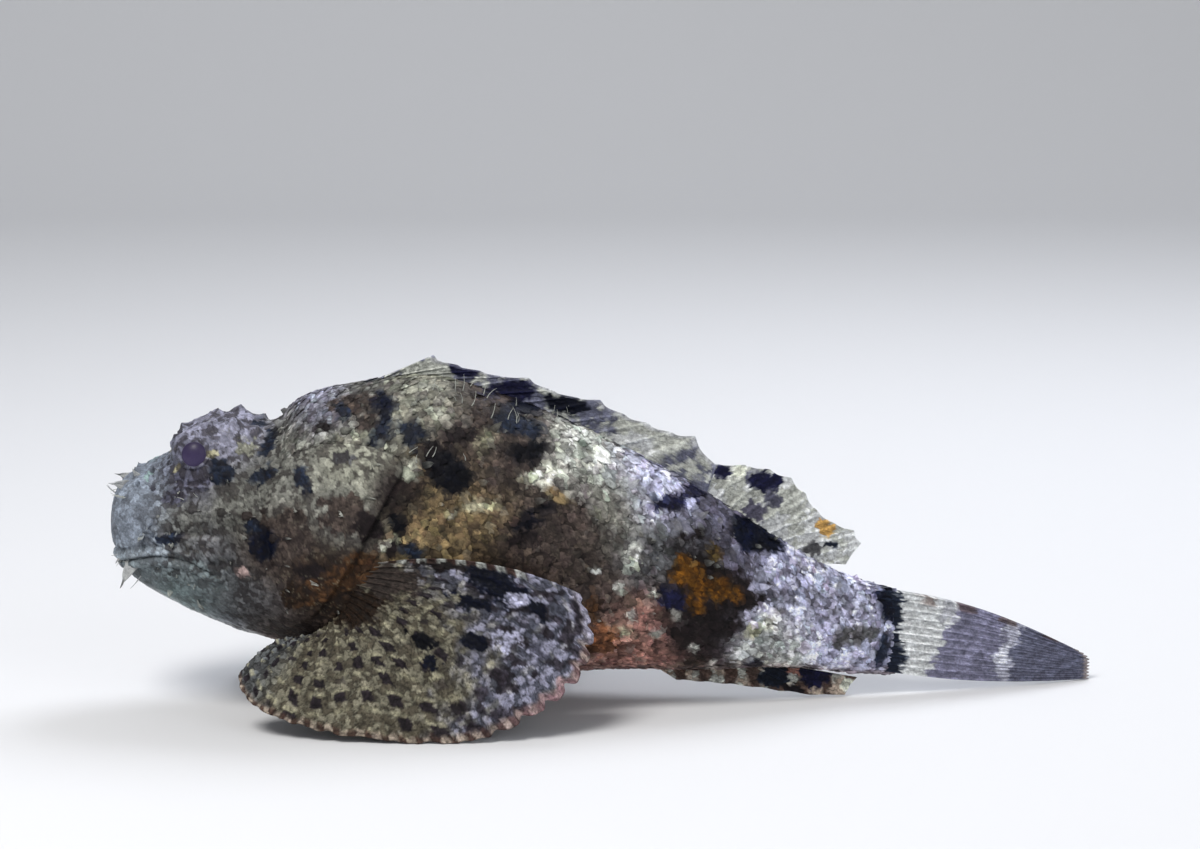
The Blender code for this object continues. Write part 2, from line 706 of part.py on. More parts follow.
def crown_place(x, side):
    """Top of the bony ridge over the eye."""
    guess = body_surface(np.full(181, x), np.linspace(0.02, 1.2, 181))
    nearest = int(np.argmin(np.abs(np.abs(guess[:, 1]) - CROWN_RIDGE_Y * min(1.0, (x - SNOUT_X) / 22))))
    return with_orbits(np.array([x, side * abs(guess[nearest, 1]), guess[nearest, 2]]))


def sideways(direction, side):
    return (direction[0], side * direction[1], direction[2])


def head_pieces(side, collection):
    dome = ball("dome", eye_frame(side)[0], ORBIT_RADIUS, collection, segments=16, rings=9)
    made = [dome, lid_rim(side, collection), maxilla(side, collection)]
    for x, length, radius, direction in CROWN_SPINES:
        place = crown_place(x, side)
        made.append(spike("spine", place, sideways(direction, side), length, radius, collection))
    for x, z, length, radius, direction in CHEEK_SPINES:
        place, _ = on_skin(x, z, side)
        made.append(spike("spine", place, sideways(direction, side), length, radius, collection))
    for x, z, length, width, direction in HEAD_FLAPS + JAW_FLAPS:
        place, _ = on_skin(x, z, side)
        broad = (0, 0.3 * side, 1) if abs(direction[2]) < 0.8 else (1, 0, 0.1)
        made.append(tassel("flap", place, sideways(direction, side), broad, length, width, collection))
    return made + nostril_rims(side, collection)


def torso_pieces(side, collection):
    """Flaps along the lateral line and beside the dorsal fin, and the spine over the gill opening."""
    made = []
    line = np.array(LATERAL_LINE)
    for k in range(LATERAL_FLAPS):
        x = line[0, 0] + (line[-1, 0] - line[0, 0]) * (k + 0.3) / LATERAL_FLAPS
        z = float(smooth_curve(line[:, 0], line[:, 1], x))
        place, normal = on_skin(x, z, side)
        direction = normal * 0.8 + np.array([0.9, 0, 0.1])
        length = FLAP_LENGTH * (1.1 - 0.2 * (k % 2))
        made.append(tassel("flap", place, direction, (0, 0.2 * side, 1), length, FLAP_WIDTH, collection))
    for k in range(BACK_FLAPS):
        x = -46.0 + 18.0 * k
        z = back_height(x) - 6.5 - 1.5 * (k % 2)
        place, normal = on_skin(x, z, side)
        direction = normal * 0.8 + np.array([0.8, 0, 0.5])
        length = FLAP_LENGTH * (1.0 + 0.25 * (k % 2))
        made.append(tassel("flap", place, direction, (0, 0.2 * side, 1), length, FLAP_WIDTH, collection))
    place, _ = on_skin(-66.0, 77.0, side)
    made.append(spike("spine", place, (1.0, 0.5 * side, 0.5), 3.0, 1.2, collection))
    return made


def offset_polyline(line, distance):
    """The line moved sideways by a distance, to the left of its direction."""
    line = np.array(line, float)
    along = np.gradient(line, axis=0)
    along /= np.linalg.norm(along, axis=1, keepdims=True)
    return line + distance * np.stack([-along[:, 1], along[:, 0]], -1)


def jaw_outline(inset):
    """Side view of the block that holds the lower jaw, its edge moved in by the inset."""
    line = np.array(MOUTH_LINE + JAW_BACK)
    steps = np.concatenate([[0], np.cumsum(np.linalg.norm(np.diff(line, axis=0), axis=1))])
    fine = np.linspace(0, steps[-1], 22)
    smooth = np.stack([smooth_curve(steps, line[:, k], fine) for k in range(2)], -1)
    edge = offset_polyline(smooth, -inset)
    front_x = SNOUT_X - 8.0
    return [tuple(p) for p in edge] + [(edge[-1, 0], 0.0), (front_x, 0.0), (front_x, edge[0, 1])]


def cover_grid(side, grow, out, inward, name, collection):
    """A curved plate over the gills: rings of points from its middle out to the outline, on both faces."""
    outline = np.array(COVER_OUTLINE)
    closed = np.vstack([outline[-2:], outline, outline[:3]])
    place = np.arange(-2, len(outline) + 3)
    fine = np.arange(0, len(outline), 0.5)
    edge = np.stack([smooth_curve(place, closed[:, k], fine) for k in range(2)], -1)
    middle = np.array(COVER_MIDDLE)
    reach = edge - middle
    length = np.linalg.norm(reach, axis=1, keepdims=True)
    edge = middle + reach * (length + grow) / length
    shares = (0.3, 0.6, 0.86, 1.0)
    plan = [middle[None, :]] + [middle + (edge - middle) * share for share in shares]
    plan = np.vstack(plan)
    skin = flank(plan[:, 0], plan[:, 1], side)
    normal = flank_normal(plan[:, 0], plan[:, 1], side)
    outer, inner = skin + normal * out, skin - normal * inward
    around, total = len(edge), len(plan)
    faces = []
    for k in range(around):
        m = (k + 1) % around
        faces += [(0, 1 + k, 1 + m), (total, total + 1 + m, total + 1 + k)]
        for ring in range(len(shares) - 1):
            a, b = 1 + ring * around, 1 + (ring + 1) * around
            for triangle in ((a + k, b + k, b + m), (a + k, b + m, a + m)):
                faces.append(triangle)
                faces.append(tuple(v + total for v in reversed(triangle)))
        rim = 1 + (len(shares) - 1) * around
        faces += [(rim + m, rim + k, rim + k + total), (rim + m, rim + k + total, rim + m + total)]
    return outward(add_mesh(name, np.vstack([outer, inner]), faces, collection))


def gill_cover(side, collection):
    name = "gill_cover_left" if side == LEFT else "gill_cover_right"
    cover = cover_grid(side, 0.0, COVER_OUT, COVER_IN, name, collection)
    pieces = []
    for x, z, length, radius, direction in COVER_SPINES:
        place, _ = on_skin(x, z, side)
        aim = sideways(direction, side)
        pieces.append(spike("spine", place, aim, length + COVER_OUT, radius, collection, sunk=1.0))
    for x, z, length, width, direction in COVER_FLAPS:
        place, _ = on_skin(x, z, side)
        aim, broad = sideways(direction, side), (0, 0.3 * side, 1)
        pieces.append(tassel("flap", place, aim, broad, length + COVER_OUT, width, collection, sunk=0.8))
    return boolean(cover, pieces, "UNION")


def bezier(start, middle, end, share):
    return start * (1 - share) ** 2 + 2 * middle * share * (1 - share) + end * share**2


def pectoral_fin(side, collection):
    """Fan of rays from the slanting root behind the gill cover, arched, its rim down to the floor."""
    rows = 7
    columns = ray_columns(PECTORAL_RAYS, 0)
    share = np.array([c[0] for c in columns]) / (PECTORAL_RAYS - 1)
    crest = np.array([c[1] for c in columns])
    web = np.array([c[2] for c in columns])
    low, high = np.array(PECTORAL_ROOT_LOW), np.array(PECTORAL_ROOT_HIGH)
    root_xz = low + (high - low) * share[:, None]
    root = flank(root_xz[:, 0], root_xz[:, 1], LEFT)
    turn = math.pi * PECTORAL_SWEEP * share
    tip = np.stack([
        PECTORAL_MIDDLE[0] - PECTORAL_REACH[0] * np.cos(turn),
        PECTORAL_MIDDLE[1] - PECTORAL_REACH[1] * np.sin(math.pi * share**0.9),
        np.where(
            share < PECTORAL_TOUCH,
            PECTORAL_FRONT_LIFT * ((PECTORAL_TOUCH - share) / PECTORAL_TOUCH).clip(0) ** 2.0,
            PECTORAL_REAR_LIFT * ((share - PECTORAL_TOUCH) / (1 - PECTORAL_TOUCH)).clip(0) ** 1.35,
        ) - 0.1,
    ], -1)
    middle = (root + tip) / 2 + np.array([0.0, -0.35, 1.0]) * PECTORAL_ARCH
    inner = root + (root - middle) / np.linalg.norm(root - middle, axis=1, keepdims=True) * 2.5
    along = np.linspace(0, 1, rows)[None, :, None] * (1 - 0.03 * web[:, None, None])
    grid = bezier(root[:, None], middle[:, None], tip[:, None], along)
    grid = np.concatenate([inner[:, None], grid], 1)
    out = np.concatenate([[-0.04], np.linspace(0, 1, rows)])[None, :]
    membrane = 0.85 - 0.55 * out.clip(0)
    ridge = 0.62 - 0.30 * out.clip(0)
    half = membrane + ridge * crest[:, None]
    if side == RIGHT:
        grid = grid * np.array([1.0, -1.0, 1.0])
    name = "pectoral_fin_left" if side == LEFT else "pectoral_fin_right"
    return sheet(name, grid, half, collection)


def upright_fin(name, base, tip, sunk, columns, rows, thin, thick, collection, dip=0.0, root_extra=0.0):
    """A fin in the fish's middle plane. base and tip give (x, z) at each ray."""
    place = np.array([c[0] for c in columns])
    crest = np.array([c[1] for c in columns])
    web = np.array([c[2] for c in columns])
    rays = np.arange(len(base))
    foot = np.stack([np.interp(place, rays, base[:, k]) for k in range(2)], -1)
    edge = np.stack([np.interp(place, rays, tip[:, k]) for k in range(2)], -1)
    edge = edge + (foot - edge) * (dip * web)[:, None]
    inward = (foot - edge) / np.linalg.norm(foot - edge, axis=1, keepdims=True)
    foot = foot + inward * sunk
    out = np.linspace(0, 1, rows)
    plane = foot[:, None] + (edge - foot)[:, None] * out[None, :, None]
    grid = np.stack([plane[..., 0], 0 * plane[..., 0], plane[..., 1]], -1)
    membrane = thin[0] + (thin[1] - thin[0]) * out
    ray = thick[0] + (thick[1] - thick[0]) * out
    root = root_extra * np.exp(-((out / 0.25) ** 2))
    half = (membrane + root)[None, :] + crest[:, None] * ray[None, :]
    return sheet(name, grid, half, collection)


def spiny_dorsal(collection):
    k = np.arange(DORSAL_SPINES)
    share = k / (DORSAL_SPINES - 1)
    base_x = DORSAL_FRONT_X + (DORSAL_REAR_X - DORSAL_FRONT_X) * share
    tip_x = base_x + DORSAL_RUN
    rise = DORSAL_RISE_FRONT + (DORSAL_RISE_REAR - DORSAL_RISE_FRONT) * share**1.6
    rise = rise + DORSAL_PROUD * np.isin(k, DORSAL_PROUD_SPINES)
    # The membrane behind the last spine ends where the soft rays begin.
    base_x = np.append(base_x, SOFT_BASE[0] - 1.0)
    tip_x = np.append(tip_x, SOFT_BASE[0] + DORSAL_HIND_LEAN)
    rise = np.append(rise, DORSAL_HIND_RISE)
    base = np.stack([base_x, sections_at(base_x)[0]], -1)
    tip = np.stack([tip_x, sections_at(tip_x)[0] + rise], -1)
    return upright_fin(
        "dorsal_fin_spiny", base, tip, 2.4, ray_columns(DORSAL_SPINES + 1, 0.16), 5,
        (0.5, 0.3), (0.75, 0.12), collection, dip=0.16, root_extra=0.5,
    )


def soft_dorsal(collection):
    share = np.arange(SOFT_RAYS) / (SOFT_RAYS - 1)
    edge = np.array(SOFT_EDGE)
    base_x = SOFT_BASE[0] + (SOFT_BASE[1] - SOFT_BASE[0]) * share
    base = np.stack([base_x, sections_at(base_x)[0]], -1)
    tip = np.stack([smooth_curve(edge[:, 0], edge[:, m], share) for m in (1, 2)], -1)
    return upright_fin(
        "dorsal_fin_soft", base, tip, 2.4, ray_columns(SOFT_RAYS, 0), 7,
        (0.6, 0.28), (0.5, 0.15), collection, dip=0.03, root_extra=0.6,
    )


def anal_fin(collection):
    rays = ANAL_SPINES + ANAL_RAYS
    share = np.arange(rays) / (rays - 1)
    edge = np.array(ANAL_EDGE)
    base_x = ANAL_BASE[0] + (ANAL_BASE[1] - ANAL_BASE[0]) * share
    base = np.stack([base_x, sections_at(base_x)[1]], -1)
    tip = np.stack([smooth_curve(edge[:, 0], edge[:, m], share) for m in (1, 2)], -1)
    tip[:, 1] = np.maximum(tip[:, 1], 0.0)
    return upright_fin(
        "anal_fin", base, tip, 2.2, ray_columns(rays, 0), 6,
        (0.7, 0.45), (0.7, 0.2), collection, dip=0.06, root_extra=0.6,
    )


def caudal_fin(collection):
    share = np.arange(CAUDAL_RAYS) / (CAUDAL_RAYS - 1)
    root_z = CAUDAL_ROOT_Z[0] + (CAUDAL_ROOT_Z[1] - CAUDAL_ROOT_Z[0]) * share
    base = np.stack([np.full(CAUDAL_RAYS, CAUDAL_ROOT_X), root_z], -1)
    tip = np.stack([
        CAUDAL_END_X - 5.0 * np.maximum(share - 0.6, 0.0) ** 1.5 / 0.4**1.5,
        CAUDAL_END_Z[0] + (CAUDAL_END_Z[1] - CAUDAL_END_Z[0]) * share,
    ], -1)
    columns = ray_columns(CAUDAL_RAYS, 0)
    place = np.array([c[0] for c in columns]) / (CAUDAL_RAYS - 1)
    crest = np.array([c[1] for c in columns])
    rays = np.arange(CAUDAL_RAYS) / (CAUDAL_RAYS - 1)
    rows = 8
    out = np.linspace(0, 1, rows)
    foot = np.stack([np.interp(place, rays, base[:, m]) for m in range(2)], -1)
    edge = np.stack([np.interp(place, rays, tip[:, m]) for m in range(2)], -1)
    plane = foot[:, None] + (edge - foot)[:, None] * out[None, :, None]
    bow = CAUDAL_BOW[0] + (CAUDAL_BOW[1] - CAUDAL_BOW[0]) * place[:, None]
    bow = bow * np.sin(math.pi * out)[None, :]
    grid = np.stack([plane[..., 0], 0 * bow, plane[..., 1] + bow], -1)
    half = 0.45 + 1.1 * (1 - out[None, :]) ** 1.5 + crest[:, None] * (0.45 - 0.25 * out[None, :])
    return sheet("caudal_fin", grid, half, collection)


def pelvic_fin(side, collection):
    """Rays fanning back from the breast down to the floor."""
    rows = 8
    columns = ray_columns(PELVIC_RAYS, 0)
    share = np.array([c[0] for c in columns]) / (PELVIC_RAYS - 1)
    crest = np.array([c[1] for c in columns])
    web = np.array([c[2] for c in columns])
    root_x = PELVIC_ROOT_X[0] + (PELVIC_ROOT_X[1] - PELVIC_ROOT_X[0]) * share
    root_y = PELVIC_ROOT_Y[0] + (PELVIC_ROOT_Y[1] - PELVIC_ROOT_Y[0]) * share
    top, bottom, half_width, widest = sections_at(root_x)
    spread = (root_y / half_width) ** LOWER_SQUARENESS
    root_z = widest - (widest - bottom) * (1 - spread) ** (1 / LOWER_SQUARENESS)
    root = np.stack([root_x, -root_y, root_z], -1)
    front, rear = np.array(PELVIC_TIP_FRONT), np.array(PELVIC_TIP_REAR)
    swing = share[:, None]
    tip_xy = front * (1 - swing) + rear * swing + np.array([3.0, 4.0]) * np.sin(math.pi * swing)
    tip = np.stack([tip_xy[:, 0], -tip_xy[:, 1], np.full(len(share), 0.05)], -1)
    middle = root * 0.62 + tip * 0.38
    middle[:, 2] = 2.2 + 0.8 * (1 - share)
    inner = root + np.array([0.0, 0.0, 2.6])
    along = np.linspace(0, 1, rows)[None, :, None] * (1 - 0.04 * web[:, None, None])
    grid = bezier(root[:, None], middle[:, None], tip[:, None], along)
    grid = np.concatenate([inner[:, None], grid], 1)
    out = np.concatenate([[0.0], np.linspace(0, 1, rows)])[None, :]
    half = 0.75 - 0.4 * out + crest[:, None] * (0.6 - 0.3 * out)
    if side == RIGHT:
        grid = grid * np.array([1.0, -1.0, 1.0])
    name = "pelvic_fin_left" if side == LEFT else "pelvic_fin_right"
    return sheet(name, grid, half, collection)


def finish_node(obj, skin):
    obj.data.materials.clear()
    obj.data.materials.append(material(skin))
    obj.data.shade_smooth()
    obj.data.set_sharp_from_angle(angle=math.radians(50))


def build():
    for old in list(bpy.data.objects):
        bpy.data.objects.remove(old)
    scene = bpy.context.scene
    fish = bpy.data.collections.new("spotted_scorpionfish")
    scene.collection.children.link(fish)
    pieces = bpy.data.collections.new("pieces")
    scene.collection.children.link(pieces)

    # The whole body with all that grows on it, before it is parted.
    whole = body_mesh("whole", pieces)
    grown = lips(pieces)
    for side in (LEFT, RIGHT):
        grown += head_pieces(side, pieces) + torso_pieces(side, pieces)
    boolean(whole, grown, "UNION")

    # Room for the eyes and the gill covers.
    room = []
    for side in (LEFT, RIGHT):
        centre, _ = eye_frame(side)
        room.append(ball("socket", centre, EYE_RADIUS + GAP, pieces))
        room.append(lid_opening(side, pieces))
        room += nostril_pits(side, pieces)
        room.append(cover_grid(side, GAP, 7.0, COVER_IN + GAP, "cover_room", pieces))
    boolean(whole, room, "DIFFERENCE")

    # Thin cuts at the mouth, the neck and the tail stalk.
    half_gap = GAP / 2
    neck = [(NECK_TOP_X, 120.0), (NECK_BOTTOM_X, -10.0)]
    head = copy_of(whole, "head", fish)
    front_x = SNOUT_X - 12.0
    front_block = [(x - half_gap, z) for x, z in neck] + [(front_x, -10.0), (front_x, 120.0)]
    boolean(head, [prism("front", front_block, pieces)], "INTERSECT")
    lower_jaw = copy_of(head, "lower_jaw", fish)
    boolean(lower_jaw, [prism("jaw", jaw_outline(half_gap), pieces)], "INTERSECT")
    boolean(head, [prism("jaw", jaw_outline(-half_gap), pieces)], "DIFFERENCE")
    torso = copy_of(whole, "torso", fish)
    cut_x = STALK_START_X - half_gap
    middle_block = [(x + half_gap, z) for x, z in neck] + [(cut_x, -10.0), (cut_x, 120.0)]
    boolean(torso, [prism("middle", middle_block, pieces)], "INTERSECT")
    stalk = copy_of(whole, "tail_stalk", fish)
    cut_x = STALK_START_X + half_gap
    end_x = STALK_END_X + 20.0
    rear_block = [(cut_x, 120.0), (cut_x, -10.0), (end_x, -10.0), (end_x, 120.0)]
    boolean(stalk, [prism("rear", rear_block, pieces)], "INTERSECT")
    bpy.data.objects.remove(whole)
    finish_node(head, "head_skin")
    finish_node(lower_jaw, "jaw_skin")
    finish_node(torso, "body_skin")
    finish_node(stalk, "stalk_skin")

    for side, word in ((LEFT, "left"), (RIGHT, "right")):
        finish_node(gill_cover(side, fish), "cover_skin")
        centre, look = eye_frame(side)
        finish_node(ball("eye_" + word, centre, EYE_RADIUS, fish), "eye")

    # Fins end face to face with the skin, a gap away from it.
    fins = [spiny_dorsal(fish), soft_dorsal(fish), anal_fin(fish), caudal_fin(fish)]
    for side in (LEFT, RIGHT):
        fins += [pectoral_fin(side, fish), pelvic_fin(side, fish)]
    for fin in fins:
        boolean(fin, [body_mesh("room", pieces, grow=GAP)], "DIFFERENCE")
        finish_node(fin, "pale_fin_skin" if fin.name in ("caudal_fin", "anal_fin") else "fin_skin")
    bpy.data.collections.remove(pieces)

    # The origin is the bottom centre of the whole fish.
    corners = np.array([
        tuple(vertex.co) for obj in fish.objects for vertex in obj.data.vertices
    ])
    middle = (corners.min(axis=0) + corners.max(axis=0)) / 2
    shift = Matrix.Translation((-middle[0], -middle[1], -corners[:, 2].min()))
    for obj in fish.objects:
        obj.data.transform(shift)


build()
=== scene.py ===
"""Looks of the spotted scorpionfish: one skin, its scales, spines, flaps, fins and eyes.

Shapes are worked out in millimetres on the straight fish, which faces -X with its left side at -Y, then bent,
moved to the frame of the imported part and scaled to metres.
"""

import math

import bpy
import numpy as np
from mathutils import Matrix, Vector


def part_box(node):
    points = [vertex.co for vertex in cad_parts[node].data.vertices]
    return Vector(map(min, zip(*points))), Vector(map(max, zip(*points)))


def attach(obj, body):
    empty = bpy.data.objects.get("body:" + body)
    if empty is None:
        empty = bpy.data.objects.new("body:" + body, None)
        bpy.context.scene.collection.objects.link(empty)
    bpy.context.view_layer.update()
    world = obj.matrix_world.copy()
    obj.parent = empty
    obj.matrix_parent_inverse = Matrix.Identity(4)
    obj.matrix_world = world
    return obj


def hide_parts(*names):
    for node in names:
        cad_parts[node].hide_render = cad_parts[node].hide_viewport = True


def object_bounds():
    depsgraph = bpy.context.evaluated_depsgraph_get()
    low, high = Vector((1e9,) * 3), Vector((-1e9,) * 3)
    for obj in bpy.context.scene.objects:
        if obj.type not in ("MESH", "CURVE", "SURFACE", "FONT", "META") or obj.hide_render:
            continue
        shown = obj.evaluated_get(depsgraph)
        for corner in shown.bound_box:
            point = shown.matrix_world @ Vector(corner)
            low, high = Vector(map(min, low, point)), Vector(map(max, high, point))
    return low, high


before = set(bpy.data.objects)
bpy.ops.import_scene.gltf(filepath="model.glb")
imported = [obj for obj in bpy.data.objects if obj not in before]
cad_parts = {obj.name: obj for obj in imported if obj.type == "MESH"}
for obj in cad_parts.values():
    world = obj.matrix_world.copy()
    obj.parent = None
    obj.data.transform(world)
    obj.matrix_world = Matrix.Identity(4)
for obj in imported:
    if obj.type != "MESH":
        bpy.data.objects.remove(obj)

CAD_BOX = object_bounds()
MM = 0.001
LEFT, RIGHT = -1, 1
SIDE_WORD = {LEFT: "left", RIGHT: "right"}

# Body: the same sections and sizes as the solids.
SNOUT_X = -130.5
SNOUT_Z = 50
BODY_MIDDLE_Z = 40
STALK_END_X = 80
#          x,    top, bottom, half width, height of the widest point
SECTIONS = (
    (-127.4, 60.2, 38.4, 10.5, 48),
    (-122, 64.2, 33, 14, 46.5),
    (-115, 68.6, 29, 16.8, 44.5),
    (-106, 76.2, 24.6, 19.6, 43),
    (-96, 77.8, 20.8, 22.8, 42),
    (-88, 76.4, 18.8, 25, 42),
    (-80.5, 82.2, 16.2, 26.4, 42),
    (-62, 87.3, 10.4, 27.6, 42),
    (-47, 89.4, 7.4, 26.8, 41),
    (-26, 84, 6.6, 24.6, 38),
    (0, 73.2, 9.2, 20.2, 35),
    (26, 58.8, 8.8, 14.6, 31),
    (50, 43.2, 8.6, 9.2, 24.5),
    (66, 33.8, 6.6, 5.8, 20),
    (74.5, 30.6, 5.6, 3.8, 18.2),
    (80, 29.2, 5.4, 1, 17.4),
)
UPPER_SQUARENESS = 2.15
LOWER_SQUARENESS = 2.35
BEND_START_X = 10
BEND_RATE = 0.0015

#  x, z, half length, half height, turn in degrees, height out of the surface
SWELLINGS = (
    (-106.6, 69.6, 9, 7.5, 0, 1.6),
    (-119, 61.5, 4.5, 4, 35, -1),
    (-101, 55.5, 16, 2.8, 6, 1.8),
    (-104, 61.5, 9, 2.6, 4, -1),
    (-104, 34, 9, 5, -20, 0.8),
    (-93, 45, 7, 6, 0, 0.9),
    (-68, 52, 12, 14, 0, 1.4),
    (-52, 55, 5, 12, -15, -1),
    (-92, 66, 7, 4, -10, -0.9),
)
# Smaller forms that only the skin shows, in the same terms.
FINE_SWELLINGS = (
    (-105.8, 61.6, 6.5, 0.55, 3, 0.55),     # thin ridge under the eye
    (-113.5, 55.2, 6, 1.2, -22, 0.6),     # bone before the cheek
    (-118, 55, 1.6, 5, 18, -0.5),
    (-95, 56.4, 8, 0.8, 4, 0.5),
    (-88.8, 47, 1, 11, 8, 0.8),       # hind edge of the cheek
    (-86.2, 47, 0.9, 11, 8, -0.8),
    (-110, 48.6, 7, 0.8, -8, 0.5),
    (-99, 36, 1, 7, -25, -0.6),     # fold behind the jaw
    (-72, 62.5, 12, 0.8, 8, 0.5),       # ridges of the gill cover
    (-72, 56, 11, 0.8, -12, 0.5),
    (-76, 47, 9, 0.7, -32, 0.35),
)
CROWN_RIDGE_Y = 9.2
CROWN_RIDGE_SPREAD = 3.6
CROWN_RIDGE_RISE = 2.2
CROWN_GROOVE_DEPTH = 3.4
CROWN_GROOVE_SPREAD = 5
CROWN_X, CROWN_REACH = -102, 12

EYE_X, EYE_Z = -106.4, 69.8
EYE_RADIUS = 5.7
EYE_SUNK = 4.3
ORBIT_RADIUS = 6.9
ORBIT_BLEND = 9
LID_OPENING = 4.1
PUPIL_RADIUS = 3.2
CORNEA_BULGE = 0.35

MOUTH_LINE = ((-134, 39.8), (-128, 40.2), (-121.5, 42), (-115, 43.2), (-108, 42.2), (-100.5, 38.6))
LIP_RADIUS = 1.25
LIP_APART = 1.3
MAXILLA = (-107.5, 46.6, 11, 3.1, -7, 1.4)   # x, z, half length, half height, turn, height
NOSTRILS = ((-118.4, 64.2, 0.95), (-122.2, 60.8, 0.75))

COVER_MIDDLE = (-70.5, 50.5)
COVER_OUTLINE = (
    (-86, 65), (-73, 73), (-60, 73), (-51.5, 68.6), (-55.5, 60), (-61, 50),
    (-67, 39.5), (-75, 28.5), (-83, 23.5), (-88.5, 31), (-88, 48),
)
COVER_OUT = 0.9
COAT_DEPTH = 0.45

# Sizes of the fine meshes.
HEAD_RINGS, BODY_RINGS, SKIN_SIDES = 310, 100, 560
HEAD_END_X = -50       # the skin is finest ahead of this
LOBE = 1.4               # size of the small lobes that cover the bare skin
SCALE_PITCH = 2.05
SCALE_SPOKES = 16
SCALE_PIECE = 1800       # scales in one piece of the coat
PATCH = 0.003            # size of a scale's patch on the bake's map

# Colours of the fish, as screen values.
PALETTE = dict(
    ink=(4, 5, 12), navy=(8, 12, 27), indigo=(22, 23, 50), night=(26, 32, 45), slate=(128, 136, 148),
    mist=(128, 128, 144), teal=(98, 106, 108), shallow=(132, 152, 152), plum=(80, 80, 94),
    dusk=(88, 86, 102), lilac=(184, 185, 211), ash=(80, 80, 82), stone=(104, 104, 98),
    lichen=(128, 128, 116), cream=(150, 146, 122), bone=(182, 184, 176), chalk=(224, 227, 210),
    moss=(150, 152, 128), tan=(116, 100, 72), olive=(84, 68, 38), umber=(61, 53, 49), mud=(26, 21, 22),
    rust=(37, 27, 20), russet=(62, 43, 28), brick=(170, 124, 112), ochre=(90, 57, 16), rose=(152, 132, 128),
    frost=(202, 204, 204), heather=(122, 121, 142), pearl=(194, 195, 206), smoke=(99, 101, 119),
    petal=(182, 166, 150), cocoa=(70, 52, 46), blush=(164, 130, 138), frill=(180, 180, 204),
    sand=(90, 84, 71), oat=(120, 116, 100), shadow=(30, 25, 30), steel=(90, 92, 106), amber=(188, 148, 86),
    clay=(122, 80, 55), veil=(198, 200, 230),
)
PALETTE = {name: np.array(colour) for name, colour in PALETTE.items()}
# Ground of the flank: x, z, reach, colour.
ZONES = (
    (-126, 52, 10, "slate"),
    (-118, 61, 6, "slate"),
    (-122, 36, 7, "teal"),
    # Pale zones along the chin's lower edge: painted rim light.
    (-112, 27, 7, "shallow"),
    (-100, 21, 6, "slate"),
    (-98, 77, 9, "mist"),
    (-108, 63, 6, "plum"),
    (-110, 54, 6, "stone"),
    (-103, 44, 7, "ash"),
    (-104, 35, 8, "teal"),
    (-91, 33, 8, "ash"),
    (-92, 60, 8, "stone"),
    (-80, 70, 8, "stone"),
    (-65, 69, 8, "lichen"),
    (-68, 55, 7, "stone"),
    (-84, 46, 7.5, "umber"),
    (-72, 40, 9, "rust"),
    (-82, 24, 8, "umber"),
    (-74, 84, 6, "mist"),
    (-64, 82, 6, "stone"),
    (-45, 84, 6, "lichen"),
    (-27, 75, 12, "umber"),
    (-53, 62, 5, "mud"),
    (-38, 55, 11, "tan"),
    (-12, 50, 10, "umber"),
    (-26, 34, 10, "rust"),
    (-3, 73, 11, "bone"),
    (15, 65, 10, "veil"),
    (4, 56, 7, "lichen"),
    (9, 44, 6, "ash"),
    (-2, 42, 6, "umber"),
    (-20, 47, 6, "umber"),
    (-6, 30, 10, "umber"),
    (4, 16, 11, "brick"),
    (22, 24, 7, "mud"),
    (34, 50, 8, "dusk"),
    (24, 45, 6, "ash"),
    (56, 30, 13, "lilac"),
    (47, 16, 7, "bone"),
    (68, 19, 7, "lilac"),
)
